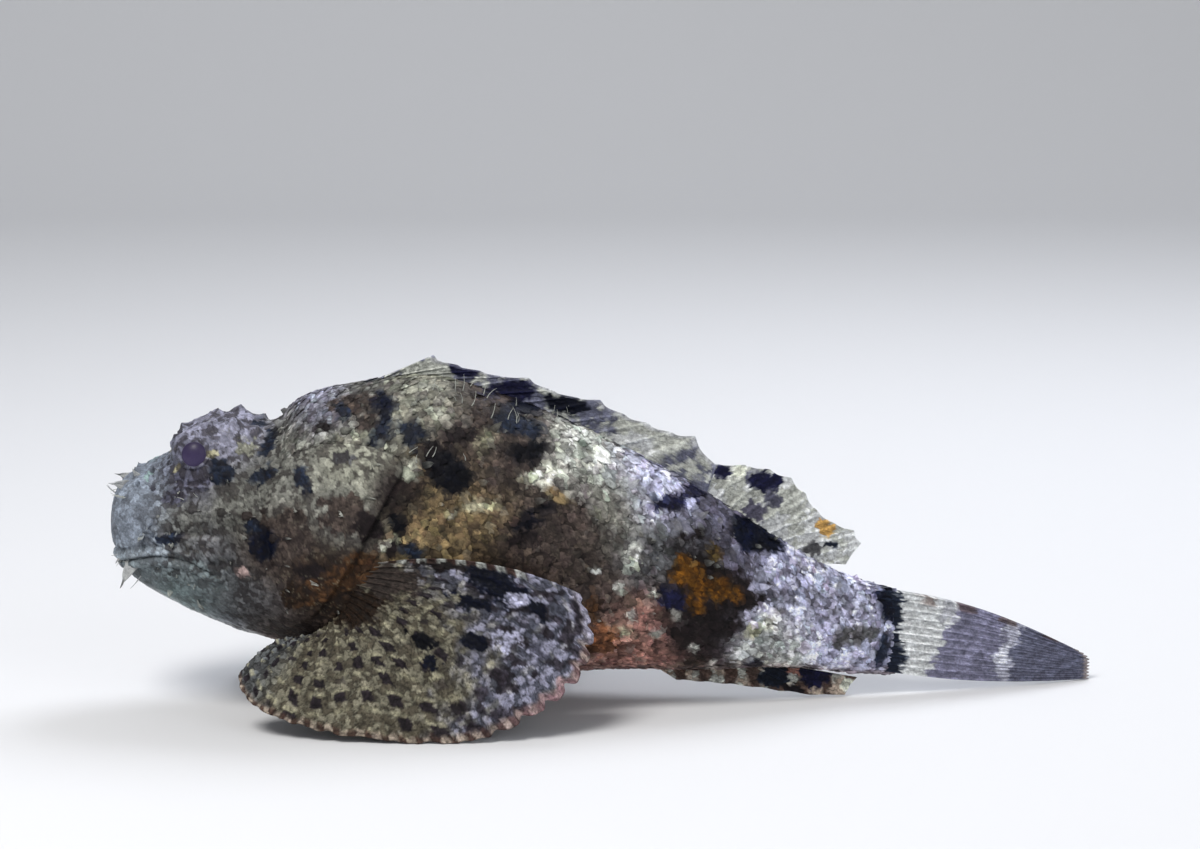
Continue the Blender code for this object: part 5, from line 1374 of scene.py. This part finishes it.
def pectoral_colours(place, out, lobes, places, side):
    """Rows of dark spots, one on each ray, over a ground that turns from sand to lilac, as screen values."""
    at_place, outward = at_lobes(place, out, places, lobes)
    fan = at_place / (PECTORAL_RAYS - 1)
    rough, fine = layered(places, 4.0, 421), layered(places, 1.5, 423)
    upper = smooth((fan - 0.60 + 0.3 * (rough - 0.5) + 0.5 * (outward - 0.6)) / 0.2)
    light = smooth((lobes[2] - 0.42) / 0.2)
    high = mixed(PALETTE["steel"] * 0.88, light, PALETTE["frill"] * 0.78)
    colours = mixed(mixed(PALETTE["sand"], light, "oat"), upper, high)
    front = PALETTE["slate"] * (0.52 + 0.18 * light)[..., None]
    colours = mixed(colours, 0.7 * smooth((0.20 - fan) / 0.12), front)
    place = 0.5 * place + 0.5 * at_place
    row = (0.5 * out + 0.5 * outward) * PECTORAL_ROWS + 0.3 * np.sin(place * 1.1)
    row = row + 0.4 * (noise(places, 9.0, 425) - 0.5)
    drop = row - np.round(row)
    number = np.round(row).astype(int)
    draw = hashed(np.round(place).astype(int), number, 3 + side, 427)
    off = place - np.round(place)
    crescent = bell((drop + 0.38) / 0.12) * smooth((0.36 - np.abs(off)) / 0.1) * smooth(out / 0.3)
    colours = mixed(colours, 0.75 * crescent * (1 - 0.6 * upper), "cream")
    square = np.maximum(np.abs(off) / 0.24, np.abs(drop) / (0.22 + 0.08 * draw))
    dark = smooth((1.05 - square + (rough - 0.5) * 0.8 + (lobes[2] - 0.5) * 0.4) / 0.25)
    dark = dark * smooth((draw - 0.12) / 0.3) * smooth((out - 0.10) / 0.15) * (1 - 0.25 * upper)
    colours = mixed(colours, 0.92 * dark, "shadow")
    flecks = smooth((0.40 - layered(places, 2.8, 429, 2)) / 0.05) * upper * smooth((out - 0.3) / 0.2)
    colours = mixed(colours, 0.75 * flecks, "shadow")
    colours = cover_with(colours, PECTORAL_MARKS, fan, outward, rough, fine)
    # Scalloped rim: cream and brown by turns, pink at the rear corner and pale lilac above it.
    edge = smooth((out - 0.945 + 0.05 * (fine - 0.5)) / 0.035)
    turns = smooth(0.5 + 1.6 * np.cos(4 * math.pi * place + 1.6 * (rough - 0.5)))
    share = place / (PECTORAL_RAYS - 1)
    colours = mixed(colours, edge * (1 - turns) * 0.85, "cocoa")
    colours = mixed(colours, edge * turns * 0.85, "petal")
    colours = mixed(colours, edge * bell((share - 0.72) / 0.10) * 0.7, "blush")
    colours = mixed(colours, edge * smooth((share - 0.84) / 0.06) * 0.8, "frill")
    # The uppermost ray is barred.
    checks = smooth((share - 0.972) / 0.01) * smooth((0.75 - out) / 0.1)
    bars = smooth(0.5 + 2.0 * np.sin(out * 62))
    colours = mixed(colours, checks * bars * 0.85, "cocoa")
    return mixed(colours, checks * (1 - bars) * 0.85, "bone")


def pectoral_fin(side, look):
    """A fan from its root on the flank to a rim that is spread on the floor and raised at both ends."""
    columns, rows = (PECTORAL_RAYS - 1) * 18 + 1, 116
    share = np.linspace(0, 1, columns)
    place = share * (PECTORAL_RAYS - 1)
    low, high = np.array(PECTORAL_ROOT_LOW), np.array(PECTORAL_ROOT_HIGH)
    root_xz = low + (high - low) * share[:, None]
    root = flank(root_xz[:, 0], root_xz[:, 1], LEFT)
    turn = math.pi * PECTORAL_SWEEP * share
    fall = ((PECTORAL_TOUCH - share) / PECTORAL_TOUCH).clip(0)
    climb = ((share - PECTORAL_TOUCH) / (1 - PECTORAL_TOUCH)).clip(0)
    tip = np.stack([
        PECTORAL_MIDDLE[0] - PECTORAL_REACH[0] * np.cos(turn),
        PECTORAL_MIDDLE[1] - PECTORAL_REACH[1] * np.sin(math.pi * share**0.9),
        PECTORAL_FRONT_LIFT * fall**2 + PECTORAL_REAR_LIFT * climb**1.35 - 0.1,
    ], -1)
    middle = (root + tip) / 2 + np.array([0.0, -0.35, 1.0]) * PECTORAL_ARCH
    inner = root + unit(root - middle) * 2.5
    web = bell((0.5 - np.abs(place - np.round(place))) / 0.17)
    web = web * (0.35 + 0.65 * smooth((share - 0.5) / 0.2))
    ragged = noise(stacked(place * 3.1, 0, side), 1.0, 411) - 0.5
    steps = np.linspace(0, 1, rows)
    near_rim = smooth((steps - 0.8) / 0.2)[None, :, None]
    along = steps[None, :, None] * (1 - near_rim * (0.026 * web + 0.014 * ragged)[:, None, None])
    grid = bezier(root[:, None], middle[:, None], tip[:, None], along)
    grid = np.concatenate([inner[:, None], grid], 1)
    across, out = np.meshgrid(place, np.append(-0.03, steps), indexing="ij")
    places = grid + (0, 0, 60 if side == RIGHT else 0)
    lobes = lobes_at(places, PECTORAL_LOBE, 431, 0.5)
    crest = ridge_of(across, out, 0.62, 0.15)
    joint = 1 + 0.16 * np.sin(out * 150 + 2 * across)
    half = 0.26 - 0.12 * out.clip(0) + crest * (0.62 - 0.40 * out.clip(0)) * joint
    half = half + petal_height(lobes, 0.62) * smooth(out / 0.15)
    half = half * (1 - 0.35 * smooth((out - 0.97) / 0.03))
    colours = pectoral_colours(across, out, lobes, places, side)
    tints = finished(colours, places, lobes, crest, 435, 0.34, 0.26)
    word = SIDE_WORD[side]
    fin_object(f"pectoral_{word}", f"pectoral_fin_{word}", grid, half, tints, look, 0.3, side=side)


def upright_grid(base, tip, sunk, columns, rows, dip, rays):
    """Centre points of a fin in the middle plane, with place across in ray counts and share out."""
    place = np.linspace(0, rays - 1, columns)
    number = np.arange(rays)
    foot = np.stack([np.interp(place, number, base[:, k]) for k in range(2)], -1)
    edge = np.stack([np.interp(place, number, tip[:, k]) for k in range(2)], -1)
    web = (0.5 - 0.5 * np.cos(2 * math.pi * place)) ** 0.7
    ragged = 0.02 * (noise(stacked(place * 3, 0, 0), 1.0, 431) - 0.5)
    edge = edge + (foot - edge) * (dip * web + ragged.clip(0))[:, None]
    foot = foot + unit(foot - edge) * sunk
    out = np.linspace(0, 1, rows)
    plane = foot[:, None] + (edge - foot)[:, None] * out[None, :, None]
    return stacked(plane[..., 0], 0, plane[..., 1]), *np.meshgrid(place, out, indexing="ij")


def foot_and_edge(ends, table, line, share):
    """Where each ray of an upright fin starts, on the back (line 0) or the belly (line 1), and ends."""
    x, edge = ends[0] + (ends[1] - ends[0]) * share, np.array(table)
    foot = stacked(x, sections_at(x)[line])
    return foot, stacked(*(smooth_curve(edge[:, 0], edge[:, m], share) for m in (1, 2)))


DORSAL_SPINES = 12
DORSAL_FRONT_X, DORSAL_REAR_X = -57.5, 12
DORSAL_RUN = 13.2
DORSAL_RISE_FRONT, DORSAL_RISE_REAR = 3.4, 11.4
DORSAL_PROUD_SPINES = (0, 4, 7, 11)
DORSAL_PROUD = 1.5
DORSAL_HIND_RISE, DORSAL_HIND_LEAN = 8.4, 1.5
DORSAL_MEET = 1.8        # how far the two parts of the dorsal fin run into each other
SOFT_RAYS = 10
SOFT_BASE = (27.6, 60)
SOFT_EDGE = (
    (0, 30.8, 64.6), (0.12, 39, 64.2), (0.3, 49.5, 61.4),
    (0.6, 59.5, 49.8), (0.9, 70, 41.6), (1, 66, 36.4),
)
ANAL_SPINES, ANAL_RAYS = 3, 5
ANAL_BASE = (15.5, 53)
ANAL_EDGE = (
    (0, 20.5, 5.6), (0.25, 31, 4.6), (0.5, 44, 2.8), (0.7, 56, 0.7),
    (0.82, 64, 0), (0.88, 67.2, 0.6), (1, 69.4, 5),
)
CAUDAL_RAYS = 11
CAUDAL_ROOT_X = 73
CAUDAL_ROOT_Z = (7.4, 29.6)
CAUDAL_END_X = 135
CAUDAL_END_Z = (0, 9.2)
CAUDAL_BOW = (-1.6, 3.4)
PELVIC_RAYS = 6
PELVIC_ROOT_X = (-68, -60)
PELVIC_ROOT_Y = (11.5, 6)
PELVIC_TIP_FRONT = (-48, 33)
PELVIC_TIP_REAR = (-25, 9)
FIN_LOBE = 1.5

SPINY_MARKS = (
    (-45, 91, 7, 2.6, 0, "bone", 0.6),
    (-35.6, 90.6, 4, 2.6, 0, "indigo", 0.7),
    (-23, 84.5, 6, 3.2, -10, "indigo", 0.7),
    (-24, 90.5, 4, 1.8, 0, "lilac", 0.8),
    (-8, 80.6, 7, 2.4, -12, "navy", 0.6),
    (-5, 86, 8, 2.2, -12, "frost", 0.7),
    (14, 74, 15, 8, -16, "bone", 0.8),
    (9, 71, 6, 1.8, -16, "frost", 1),
)
SOFT_MARKS = (
    (32.6, 62.4, 2.4, 2, -20, "indigo", 0.8),
    (36.8, 62.6, 1.9, 2, -20, "chalk", 0.7),
    (43.7, 59.5, 4.6, 3.2, -20, "indigo", 0.8),
    (46.6, 54.8, 4, 2.6, -20, "plum", 0.9),
    (41, 52, 3.6, 2.6, -20, "dusk", 0.9),
    (60.6, 46.6, 2.9, 1.7, -20, "amber", 0.7),
    (62.2, 41.8, 1.8, 0.8, 0, "night", 0.8),
    (57, 41, 2.4, 1.4, 0, "ash", 0.9),
)
ANAL_MARKS = (
    (47.5, 6.5, 4, 4, 12, "night", 0.9),
    (53.5, 8.6, 2.6, 2.2, 0, "brick", 0.9),
    (57.5, 5.6, 4, 3.6, 12, "indigo", 0.9),
    (52, 2.4, 3.2, 1.8, 0, "shadow", 0.9),
    (61, 9.4, 2.6, 1.8, 0, "cocoa", 0.9),
    (66, 2.4, 3.8, 3.2, 0, "petal", 0.4),
    (67, 3.2, 1.9, 2, 0, "chalk", 0.5),
)
# Bands of the tail from root to end: x of its start, how much further back it starts at the top, colour.
TAIL_BANDS = (
    (72.5, 3, "night"),
    (81, 0, "frost"),
    (88.8, 8.8, "heather"),
    (106.5, 4, "pearl"),
    (110.5, 5, "smoke"),
)


# Painted light: the tail's colours are raised to make up for the grazing light on it.
TAIL_PAINTED_LIGHT = 1.12


def spiny_dorsal(look):
    """Front part of the dorsal fin, its spines standing a little proud of the web."""
    k = np.arange(DORSAL_SPINES)
    share = k / (DORSAL_SPINES - 1)
    base_x = DORSAL_FRONT_X + (DORSAL_REAR_X - DORSAL_FRONT_X) * share
    tip_x = base_x + DORSAL_RUN
    rise = DORSAL_RISE_FRONT + (DORSAL_RISE_REAR - DORSAL_RISE_FRONT) * share**1.6
    rise = rise + DORSAL_PROUD * np.isin(k, DORSAL_PROUD_SPINES)
    base_x = np.append(base_x, SOFT_BASE[0] - 1.0 + DORSAL_MEET)
    tip_x = np.append(tip_x, SOFT_BASE[0] + DORSAL_HIND_LEAN + DORSAL_MEET)
    rise = np.append(rise, DORSAL_HIND_RISE)
    base = np.stack([base_x, sections_at(base_x)[0]], -1)
    tip = np.stack([tip_x, sections_at(tip_x)[0] + rise], -1)
    grid, place, out = upright_grid(base, tip, 2.4, 12 * 16 + 1, 40, 0.09, DORSAL_SPINES + 1)
    lobes = lobes_at(grid, FIN_LOBE, 451)
    crest = ridge_of(place, out, None, 0.11)
    half = 0.34 - 0.18 * out + crest * (0.8 - 0.68 * out) + 0.7 * bell(out / 0.22)
    half = half + petal_height(lobes, 0.4)
    colours = mottled(grid, lobes, SPINY_MARKS, "bone", "smoke", 453)
    colours = mixed(colours, 0.45 * smooth((out - 0.86) / 0.1), "pearl")
    tints = finished(colours, grid, lobes, crest, 455, 0.18, 0.2)
    fin_object("spiny_dorsal", "dorsal_fin_spiny", grid, half, tints, look, 0.3)


def soft_dorsal(look):
    """Rear part of the dorsal fin, of soft rays."""
    share = np.arange(SOFT_RAYS) / (SOFT_RAYS - 1)
    base, tip = foot_and_edge(SOFT_BASE, SOFT_EDGE, 0, share)
    tip[0, 0] -= 0.6
    grid, place, out = upright_grid(base, tip, 2.4, 9 * 18 + 1, 72, 0.04, SOFT_RAYS)
    lobes = lobes_at(grid, FIN_LOBE, 461)
    crest = ridge_of(place, out, 0.45, 0.12)
    half = 0.30 - 0.16 * out + crest * (0.55 - 0.40 * out) * (1 + 0.15 * np.sin(out * 90))
    half = half + 0.7 * bell(out / 0.2) + petal_height(lobes, 0.35)
    colours = mottled(grid, lobes, SOFT_MARKS, "frost", "bone", 463)
    tints = finished(colours, grid, lobes, crest, 465, 0.14, 0.12)
    fin_object("soft_dorsal", "dorsal_fin_soft", grid, half, tints, look, 0.25)


def anal_fin(look):
    """Low fin under the tail stalk: short spines, then soft rays."""
    rays = ANAL_SPINES + ANAL_RAYS
    share = np.arange(rays) / (rays - 1)
    base, tip = foot_and_edge(ANAL_BASE, ANAL_EDGE, 1, share)
    tip[:, 1] = np.maximum(tip[:, 1], 0.0)
    columns = 7 * 22 + 1
    dip = 0.07 - 0.055 * smooth((np.linspace(0, 1, columns) - 0.55) / 0.25)
    grid, place, out = upright_grid(base, tip, 2.2, columns, 70, dip, rays)
    lobes = lobes_at(grid, FIN_LOBE, 471)
    crest = ridge_of(place, out, 0.5, 0.13)
    half = 0.36 - 0.17 * out + crest * (0.75 - 0.52 * out) + 0.7 * bell(out / 0.22)
    half = half + petal_height(lobes, 0.35)
    where = 0.6 * lobes[3] + 0.4 * grid
    stripes = smooth(0.5 + 1.3 * np.sin(where[..., 0] * 0.95 + 1.5 * (noise(grid, 5.0, 471) - 0.5)))
    colours = mixed(mottled(grid, lobes, (), "bone", "petal", 473), 0.85 * stripes, "cocoa")
    rough, fine = layered(where, 4.0, 477), layered(where, 1.5, 479)
    colours = cover_with(colours, ANAL_MARKS, where[..., 0], where[..., 2], rough, fine)
    tints = finished(colours, grid, lobes, crest, 475)
    fin_object("anal", "anal_fin", grid, half, tints, look, 0.25, "pale_fin_skin")


def caudal_fin(look):
    """The banded tail, its rays forked."""
    columns, rows = (CAUDAL_RAYS - 1) * 18 + 1, 134
    place = np.linspace(0, CAUDAL_RAYS - 1, columns)
    share = place / (CAUDAL_RAYS - 1)
    root_z = CAUDAL_ROOT_Z[0] + (CAUDAL_ROOT_Z[1] - CAUDAL_ROOT_Z[0]) * share
    foot = np.stack([np.full(columns, CAUDAL_ROOT_X), root_z], -1)
    web = 0.5 - 0.5 * np.cos(2 * math.pi * place)
    edge = np.stack([
        CAUDAL_END_X - 5.0 * np.maximum(share - 0.6, 0.0) ** 1.5 / 0.4**1.5 - 0.8 * web,
        CAUDAL_END_Z[0] + (CAUDAL_END_Z[1] - CAUDAL_END_Z[0]) * share,
    ], -1)
    steps = np.linspace(0, 1, rows)
    plane = foot[:, None] + (edge - foot)[:, None] * steps[None, :, None]
    bow = CAUDAL_BOW[0] + (CAUDAL_BOW[1] - CAUDAL_BOW[0]) * share[:, None]
    bow = np.sin(math.pi * steps)[None, :] * bow
    grid = stacked(plane[..., 0], 0, plane[..., 1] + bow)
    across, out = np.meshgrid(place, steps, indexing="ij")
    crest = ridge_of(across, out, 0.32, 0.12)
    lobes = lobes_at(grid * np.array([0.6, 1, 1]), 1.6, 481)
    half = 0.24 + 1.2 * (1 - out) ** 1.5 + crest * (0.45 - 0.26 * out) * (1 + 0.14 * np.sin(out * 190))
    half = (half + petal_height(lobes, 0.30)) * (1 - 0.4 * smooth((out - 0.97) / 0.03))
    spot_x = 0.7 * lobes[3][..., 0] / 0.6 + 0.3 * grid[..., 0]
    rough, fine = layered(grid, 4.5, 483), layered(grid * np.array([0.3, 1, 1.6]), 1.1, 485)
    x = spot_x + 3.4 * (rough - 0.5) + 2.2 * (fine - 0.5)
    top = share[:, None]
    colours = np.zeros((*x.shape, 3)) + PALETTE["lilac"]
    for start, lean, name in TAIL_BANDS:
        colours = mixed(colours, smooth((x - start - lean * top) / 1.2 + 0.5), name)
    streak = smooth((fine - 0.47) / 0.12)
    colours = colours * (0.92 + 0.14 * streak)[..., None]
    grey = smooth((x - 90) / 3) * smooth((0.53 - rough) / 0.06)
    colours = mixed(colours, 0.35 * grey, "plum")
    brown = smooth((top - 0.86) / 0.06) * smooth(0.1 + 1.8 * np.sin(x * 0.52)) * smooth((x - 84) / 4)
    colours = mixed(colours, 0.55 * brown, "cocoa")
    checks = smooth((3.4 - grid[..., 2]) / 0.8) * smooth(0.5 + 1.5 * np.sin(x * 0.9))
    colours = mixed(colours, 0.6 * checks, "plum")
    colours = mixed(colours, 0.55 * smooth((out - 0.968) / 0.02), "petal")
    tints = finished(colours * TAIL_PAINTED_LIGHT, grid, lobes, crest, 487, 0.14, 0.12)
    fin_object("tail", "caudal_fin", grid, half, tints, look, 0.18, "pale_fin_skin")


def pelvic_fin(side, look):
    """A small folded fin under the breast."""
    columns, rows = (PELVIC_RAYS - 1) * 16 + 1, 60
    place = np.linspace(0, PELVIC_RAYS - 1, columns)
    share = place / (PELVIC_RAYS - 1)
    root_x = PELVIC_ROOT_X[0] + (PELVIC_ROOT_X[1] - PELVIC_ROOT_X[0]) * share
    root_y = PELVIC_ROOT_Y[0] + (PELVIC_ROOT_Y[1] - PELVIC_ROOT_Y[0]) * share
    _, bottom, half_width, widest = sections_at(root_x)
    spread = (root_y / half_width) ** LOWER_SQUARENESS
    root_z = widest - (widest - bottom) * (1 - spread) ** (1 / LOWER_SQUARENESS)
    root = np.stack([root_x, -root_y, root_z], -1)
    front, rear = np.array(PELVIC_TIP_FRONT), np.array(PELVIC_TIP_REAR)
    swing = share[:, None]
    tip_xy = front * (1 - swing) + rear * swing + np.array([3.0, 4.0]) * np.sin(math.pi * swing)
    tip = np.stack([tip_xy[:, 0], -tip_xy[:, 1], np.full(len(share), 0.05)], -1)
    middle = root * 0.62 + tip * 0.38
    middle[:, 2] = 2.2 + 0.8 * (1 - share)
    inner = root + np.array([0.0, 0.0, 2.6])
    web = 0.5 - 0.5 * np.cos(2 * math.pi * place)
    steps = np.linspace(0, 1, rows)
    along = steps[None, :, None] * (1 - 0.05 * web[:, None, None])
    grid = bezier(root[:, None], middle[:, None], tip[:, None], along)
    grid = np.concatenate([inner[:, None], grid], 1)
    across, out = np.meshgrid(place, np.append(0.0, steps), indexing="ij")
    lobes = lobes_at(grid, FIN_LOBE, 491)
    crest = ridge_of(across, out, 0.5, 0.14)
    half = 0.40 - 0.18 * out + crest * (0.7 - 0.46 * out) + petal_height(lobes, 0.3)
    bands = smooth(0.2 + np.sin(out * 22 + 0.6 * np.sin(across * 2)))
    colours = mixed(mottled(grid, lobes, (), "petal", "cocoa", 493), 0.6 * bands, "shadow")
    tints = finished(colours, grid, lobes, crest, 495)
    word = SIDE_WORD[side]
    fin_object(f"pelvic_{word}", f"pelvic_fin_{word}", grid, half, tints, look, 0.2, side=side)


# Eyes

def make_eye(side, look_eye):
    """A ball with its pole where it looks: a dark round pupil in an iris mottled like the skin."""
    centre, look = eye_frame(side)
    across = unit(np.cross(look, np.array([0.0, 0.0, 1.0])))
    over = np.cross(across, look)
    rows, columns = 90, 128
    polar = math.pi * (np.linspace(0.0, 1, rows) ** 1.15)
    turn = 2 * math.pi * np.arange(columns) / columns
    bulge = CORNEA_BULGE * bell(np.sin(polar) * EYE_RADIUS / 3.4, 4) * (polar < math.pi / 2)
    radius = EYE_RADIUS + bulge
    ring = np.sin(polar) * radius
    grid = (
        centre + look * (np.cos(polar) * radius)[:, None, None]
        + across * (ring[:, None] * np.cos(turn))[..., None]
        + over * (ring[:, None] * np.sin(turn))[..., None]
    )
    away = np.where(polar > math.pi / 2, EYE_RADIUS, np.sin(polar) * EYE_RADIUS)[:, None]
    wheel = stacked(np.cos(turn) * 7, np.sin(turn) * 7, away * 0.9)
    spokes, lump = layered(wheel, 1.0, 501), layered(grid, 1.1, 503)
    iris = PALETTE["mist"] * ((0.45 + 0.85 * lump) * (0.70 + 0.5 * spokes))[..., None]
    iris = mixed(iris, 0.35 * smooth((spokes - 0.56) / 0.08), "moss")
    iris = mixed(iris, 0.60 * smooth((0.50 - lump) / 0.06), "plum")
    pupil = smooth((PUPIL_RADIUS - away + 0.12 * (spokes - 0.5)) / 0.16 + 0.5)
    # The disc is a little darker above, so that it looks flat under the light from above.
    aloft = ((grid - centre) @ over) / PUPIL_RADIUS
    deep = np.array((54, 46, 74)) * (1 - 0.16 * aloft.clip(-1, 1))[..., None]
    tint = mixed(iris, pupil, deep)
    faces = grid_faces(rows, columns, closed=True)
    unwrap = np.stack([np.repeat(polar / math.pi, columns), np.tile(turn / (2 * math.pi), rows)], -1)
    points = bent(grid.reshape(-1, 3))
    piece = mesh_object(f"eyeball_{SIDE_WORD[side]}", points, faces, linear(np.clip(tint, 3, 250)), unwrap)
    dress(piece, look_eye, "eye", f"eye_{SIDE_WORD[side]}")


# Materials

BUMP_DEPTH = 0.00035     # metres


def node(tree, kind, inputs, place, **settings):
    """A shader node with its inputs set to values or joined to the outputs of others."""
    made = tree.nodes.new(kind)
    made.location = place
    for key, value in settings.items():
        setattr(made, key, value)
    fill(made, inputs)
    return made


def fill(made, inputs):
    for key, value in inputs.items():
        if isinstance(value, bpy.types.NodeSocket):
            made.id_data.links.new(value, made.inputs[key])
        else:
            made.inputs[key].default_value = value


def new_material(name):
    made = bpy.data.materials.new(name)
    made.use_nodes = True
    return made, made.node_tree, made.node_tree.nodes["Principled BSDF"]


def ranged(tree, source, low, high, to_low, to_high, place):
    """A value's range mapped to another."""
    inputs = {"Value": source, "From Min": low, "From Max": high, "To Min": to_low, "To Max": to_high}
    return node(tree, "ShaderNodeMapRange", inputs, place).outputs["Result"]


def shaded_markings(tree, shade):
    """The mesh's markings, lighter or darker by a value."""
    marks = node(tree, "ShaderNodeVertexColor", {}, (-700, 300), layer_name="Markings")
    inputs = {0: marks.outputs["Color"], "Scale": shade}
    return node(tree, "ShaderNodeVectorMath", inputs, (-300, 200), operation="SCALE").outputs["Vector"]


def skin_material(name, roughness, spread, grain, strength, detail):
    """Mottled damp skin: markings from the mesh, broken up by fine grain, with grain in gloss and bump."""
    made, tree, shader = new_material(name)
    where = node(tree, "ShaderNodeTexCoord", {}, (-1300, 0)).outputs["Object"]
    inputs = {"Vector": where, "Scale": grain, "Detail": 6.0, "Roughness": 0.62}
    fine = node(tree, "ShaderNodeTexNoise", inputs, (-1000, 0)).outputs["Fac"]
    inputs = {"Vector": where, "Scale": grain * 1.1}
    cell = node(tree, "ShaderNodeTexVoronoi", inputs, (-1000, -320), feature="DISTANCE_TO_EDGE")
    tone = ranged(tree, fine, 0.30, 0.70, 1.0 - detail, 1.0 + detail, (-700, 40))
    edge = ranged(tree, cell.outputs["Distance"], 0.0, 0.14, 1.0 - detail * 0.8, 1.0, (-700, -260))
    both = node(tree, "ShaderNodeMath", {0: tone, 1: edge}, (-500, -60), operation="MULTIPLY")
    relief = node(tree, "ShaderNodeMath", {0: fine, 1: edge}, (-500, -560), operation="ADD")
    inputs = {"Strength": strength, "Distance": BUMP_DEPTH, "Height": relief.outputs["Value"]}
    fill(shader, {
        "Base Color": shaded_markings(tree, both.outputs["Value"]),
        "Roughness": ranged(tree, fine, 0.3, 0.7, roughness - spread, roughness + spread, (-500, -320)),
        "Normal": node(tree, "ShaderNodeBump", inputs, (-300, -460)).outputs["Normal"],
        "Specular IOR Level": 0.09,
    })
    return made


def eye_material():
    """A damp eye: the iris and pupil from the mesh under a soft gloss."""
    made, tree, shader = new_material("eye_wet")
    where = node(tree, "ShaderNodeTexCoord", {}, (-1300, 0)).outputs["Object"]
    fine = node(tree, "ShaderNodeTexNoise", {"Vector": where, "Scale": 2600.0}, (-1000, 0)).outputs["Fac"]
    fill(shader, {
        "Base Color": shaded_markings(tree, ranged(tree, fine, 0.0, 1.0, 0.82, 1.15, (-700, 0))),
        "Roughness": 0.42, "Specular IOR Level": 0.18, "Coat Weight": 0.06, "Coat Roughness": 0.18,
    })
    return made


# Stage

SWEEP_START_Y, SWEEP_RADIUS = 1.15, 0.6


def make_stage():
    """A sheet of pale paper that lies under the fish and curves up behind it."""
    floor_z = CAD_BOX[0][2] - 0.0002
    turn = np.linspace(0, math.pi / 2, 33)
    curve = SWEEP_START_Y + SWEEP_RADIUS * np.sin(turn)
    run = np.concatenate([[-5.0], curve, [SWEEP_START_Y + SWEEP_RADIUS]])
    rise = floor_z + np.concatenate([[0.0], SWEEP_RADIUS * (1 - np.cos(turn)), [4.0]])
    points = [(side * 5.0, y, z) for side in (-1, 1) for y, z in zip(run, rise)]
    count = len(run)
    faces = [(k, k + 1, count + k + 1, count + k) for k in range(count - 1)]
    mesh = bpy.data.meshes.new("floor")
    mesh.from_pydata(points, [], faces)
    mesh.polygons.foreach_set("use_smooth", np.ones(len(faces), bool))
    look, _, shader = new_material("floor_paper")
    fill(shader, {"Base Color": (0.70, 0.70, 0.71, 1.0), "Roughness": 0.9, "Specular IOR Level": 0.1})
    mesh.materials.append(look)
    linked("floor", mesh)


def aim_at(made, place, aim):
    made.location = place
    made.rotation_euler = (Vector(aim) - Vector(place)).to_track_quat("-Z", "Y").to_euler()


def make_light(name, place, aim, size, power, colour):
    data = bpy.data.lights.new(name, "AREA")
    data.shape = "DISK"
    data.size = size
    data.energy = power
    data.color = colour
    aim_at(linked(name, data), place, aim)


def make_lights():
    middle = (0.0, 0.0, 0.04)
    make_light("key", (-0.40, -0.60, 1.00), middle, 0.50, 11.5, (1.0, 0.985, 0.96))
    make_light("fill", (1.4, -1.6, 1.0), middle, 1.4, 9.0, (0.92, 0.95, 1.0))
    make_light("back", (0.30, 0.45, 0.85), middle, 0.5, 5.0, (0.88, 0.92, 1.0))
    make_light("paper", (0.0, 0.9, 1.9), (0.0, 1.5, 0.0), 1.6, 4.5, (0.95, 0.97, 1.0))
    world = bpy.data.worlds.new("studio")
    bpy.context.scene.world = world
    world.use_nodes = True
    fill(world.node_tree.nodes["Background"], {"Color": (0.84, 0.87, 0.92, 1.0), "Strength": 0.36})


CAMERA_DISTANCE = 0.9
CAMERA_ELEVATION = 10
CAMERA_LENS, SENSOR_WIDTH = 101.6, 36
CAMERA_AIM = (-0.00176, 0, 0.0754)


def make_camera():
    data = bpy.data.cameras.new("camera")
    data.lens, data.sensor_width = CAMERA_LENS, SENSOR_WIDTH
    data.clip_start = 0.01
    data.clip_end = 50.0
    made = linked("camera", data)
    rise = math.radians(CAMERA_ELEVATION)
    back = Vector((0.0, -math.cos(rise), math.sin(rise)))
    aim_at(made, Vector(CAMERA_AIM) + back * CAMERA_DISTANCE, CAMERA_AIM)
    bpy.context.scene.camera = made


SKIN_NODES = ("head", "lower_jaw", "gill_cover_left", "gill_cover_right", "torso", "tail_stalk")


def build():
    skin_look = skin_material("skin_damp", 0.52, 0.12, 1500.0, 0.45, detail=0.22)
    scale_look = skin_material("scales_damp", 0.50, 0.12, 1900.0, 0.35, detail=0.2)
    spine_look = skin_material("spine_skin", 0.50, 0.10, 1800.0, 0.4, detail=0.25)
    flap_look = skin_material("flap_skin", 0.52, 0.10, 2200.0, 0.3, detail=0.22)
    fin_look = skin_material("fin_skin_damp", 0.50, 0.12, 1700.0, 0.45, detail=0.28)
    dress(make_skin(), skin_look, "body_skin", *SKIN_NODES)
    make_scales(scale_look)
    make_growths(spine_look, flap_look)
    eye_look = eye_material()
    for side in (LEFT, RIGHT):
        make_eye(side, eye_look)
        pectoral_fin(side, fin_look)
        pelvic_fin(side, fin_look)
    spiny_dorsal(fin_look)
    soft_dorsal(fin_look)
    anal_fin(fin_look)
    caudal_fin(fin_look)
    make_stage()
    make_lights()
    make_camera()
    bpy.context.scene.view_settings.view_transform = "Standard"


build()
bpy.context.view_layer.update()
